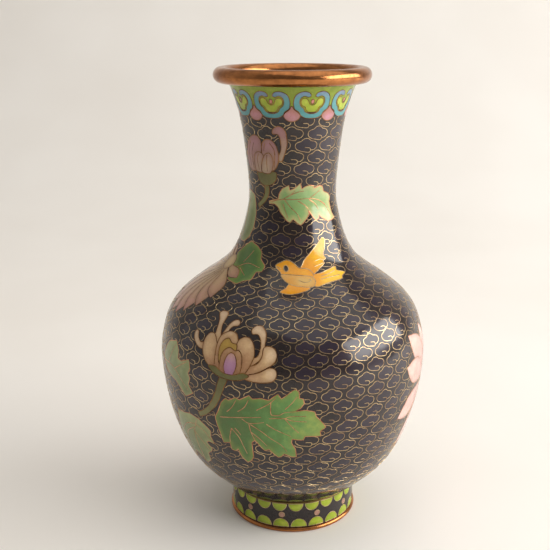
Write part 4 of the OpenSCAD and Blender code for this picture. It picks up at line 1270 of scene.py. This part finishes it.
def build_stage():
    """Pale floor that sweeps up into a backdrop, in metres."""
    near, back, bend, top, half_width = -2.2, 1.1, 0.6, 2.4, 2.6
    profile = [[near, 0.0], [-0.4, 0.0], [back - bend, 0.0]]
    for k in range(1, 17):
        a = math.radians(90 * k / 16)
        profile.append([back - bend + bend * math.sin(a), bend - bend * math.cos(a)])
    profile.append([back, top])
    columns = np.linspace(-half_width, half_width, 9)
    verts = [[x, y, z] for y, z in profile for x in columns]
    mesh = bpy.data.meshes.new("stage")
    mesh.from_pydata(verts, [], quads(len(profile), len(columns), False, False))
    mesh.shade_smooth()
    s = Shader("stage", Roughness=0.55)
    s.feed("Base Color", s.ramp(s.noise(5.0, 2.0), {0.3: (238, 233, 226), 0.7: (244, 240, 234)}))
    mesh.materials.append(s.material)
    floor = put("stage", mesh)


def area_light(name, azimuth, elevation, distance, size, power, colour):
    """Soft box that faces the vase from a direction in degrees, from -Y towards +X."""
    a, e = math.radians(azimuth), math.radians(elevation)
    away = Vector((math.sin(a) * math.cos(e), -math.cos(a) * math.cos(e), math.sin(e)))
    target = Vector((0, 0, VASE_H * MM * 0.5))
    data = bpy.data.lights.new(name, "AREA")
    data.shape = "RECTANGLE"
    data.size, data.size_y = size
    data.energy = power
    data.color = colour
    light = put(name, data)
    light.location = target + away * distance
    light.rotation_euler = away.to_track_quat("Z", "Y").to_euler()


def build_lights():
    area_light("window", 79, 19, 1.1, (1.2, 0.62), 15, (1.0, 0.985, 0.965))
    area_light("sky", 60, 75, 1.7, (2.2, 2.2), 12, (1.0, 0.985, 0.96))


def build_world():
    """Pale room that is darker behind the camera and a little darker to the left."""
    world = bpy.data.worlds.new("studio")
    world.use_nodes = True
    tree = world.node_tree

    def graded(value, start, end, low, high):
        inputs = {"Value": value, "From Min": start, "From Max": end, "To Min": low}
        inputs["To Max"] = high
        return add_node(tree, "ShaderNodeMapRange", inputs).outputs["Result"]

    direction = add_node(tree, "ShaderNodeTexCoord").outputs["Generated"]
    xyz = add_node(tree, "ShaderNodeSeparateXYZ", {"Vector": direction}).outputs
    front = graded(xyz["Y"], -0.9, 0.2, 0.2, 0.6)
    side = graded(xyz["X"], -1, 1, 1.02, 1.28)
    strength = add_node(tree, "ShaderNodeMath", {0: front, 1: side}, operation="MULTIPLY")
    background = tree.nodes["Background"]
    background.inputs["Color"].default_value = rgb(244, 241, 237)
    tree.links.new(strength.outputs[0], background.inputs["Strength"])
    bpy.context.scene.world = world


def build_camera():
    """Stands 385 mm from the axis, a little above the rim, and looks down 16 degrees."""
    data = bpy.data.cameras.new("camera")
    data.sensor_width = 36
    data.lens = 58.13
    data.shift_x = -0.032
    data.clip_start = 0.01
    camera = put("camera", data)
    camera.location = (0, -0.3849, 0.2239)
    camera.rotation_euler = (math.radians(90 - 16.04), 0, 0)
    bpy.context.scene.camera = camera
    bpy.context.scene.view_settings.view_transform = "Standard"


build_camera()
build_stage()
build_world()
build_lights()
paint_cad()
build_rings()
build_grounds()
build_linings()
build_collar()
build_foot_border()
build_bud()
build_chrysanthemum()
build_leaves()
build_bird()
build_flowers()
build_clouds()
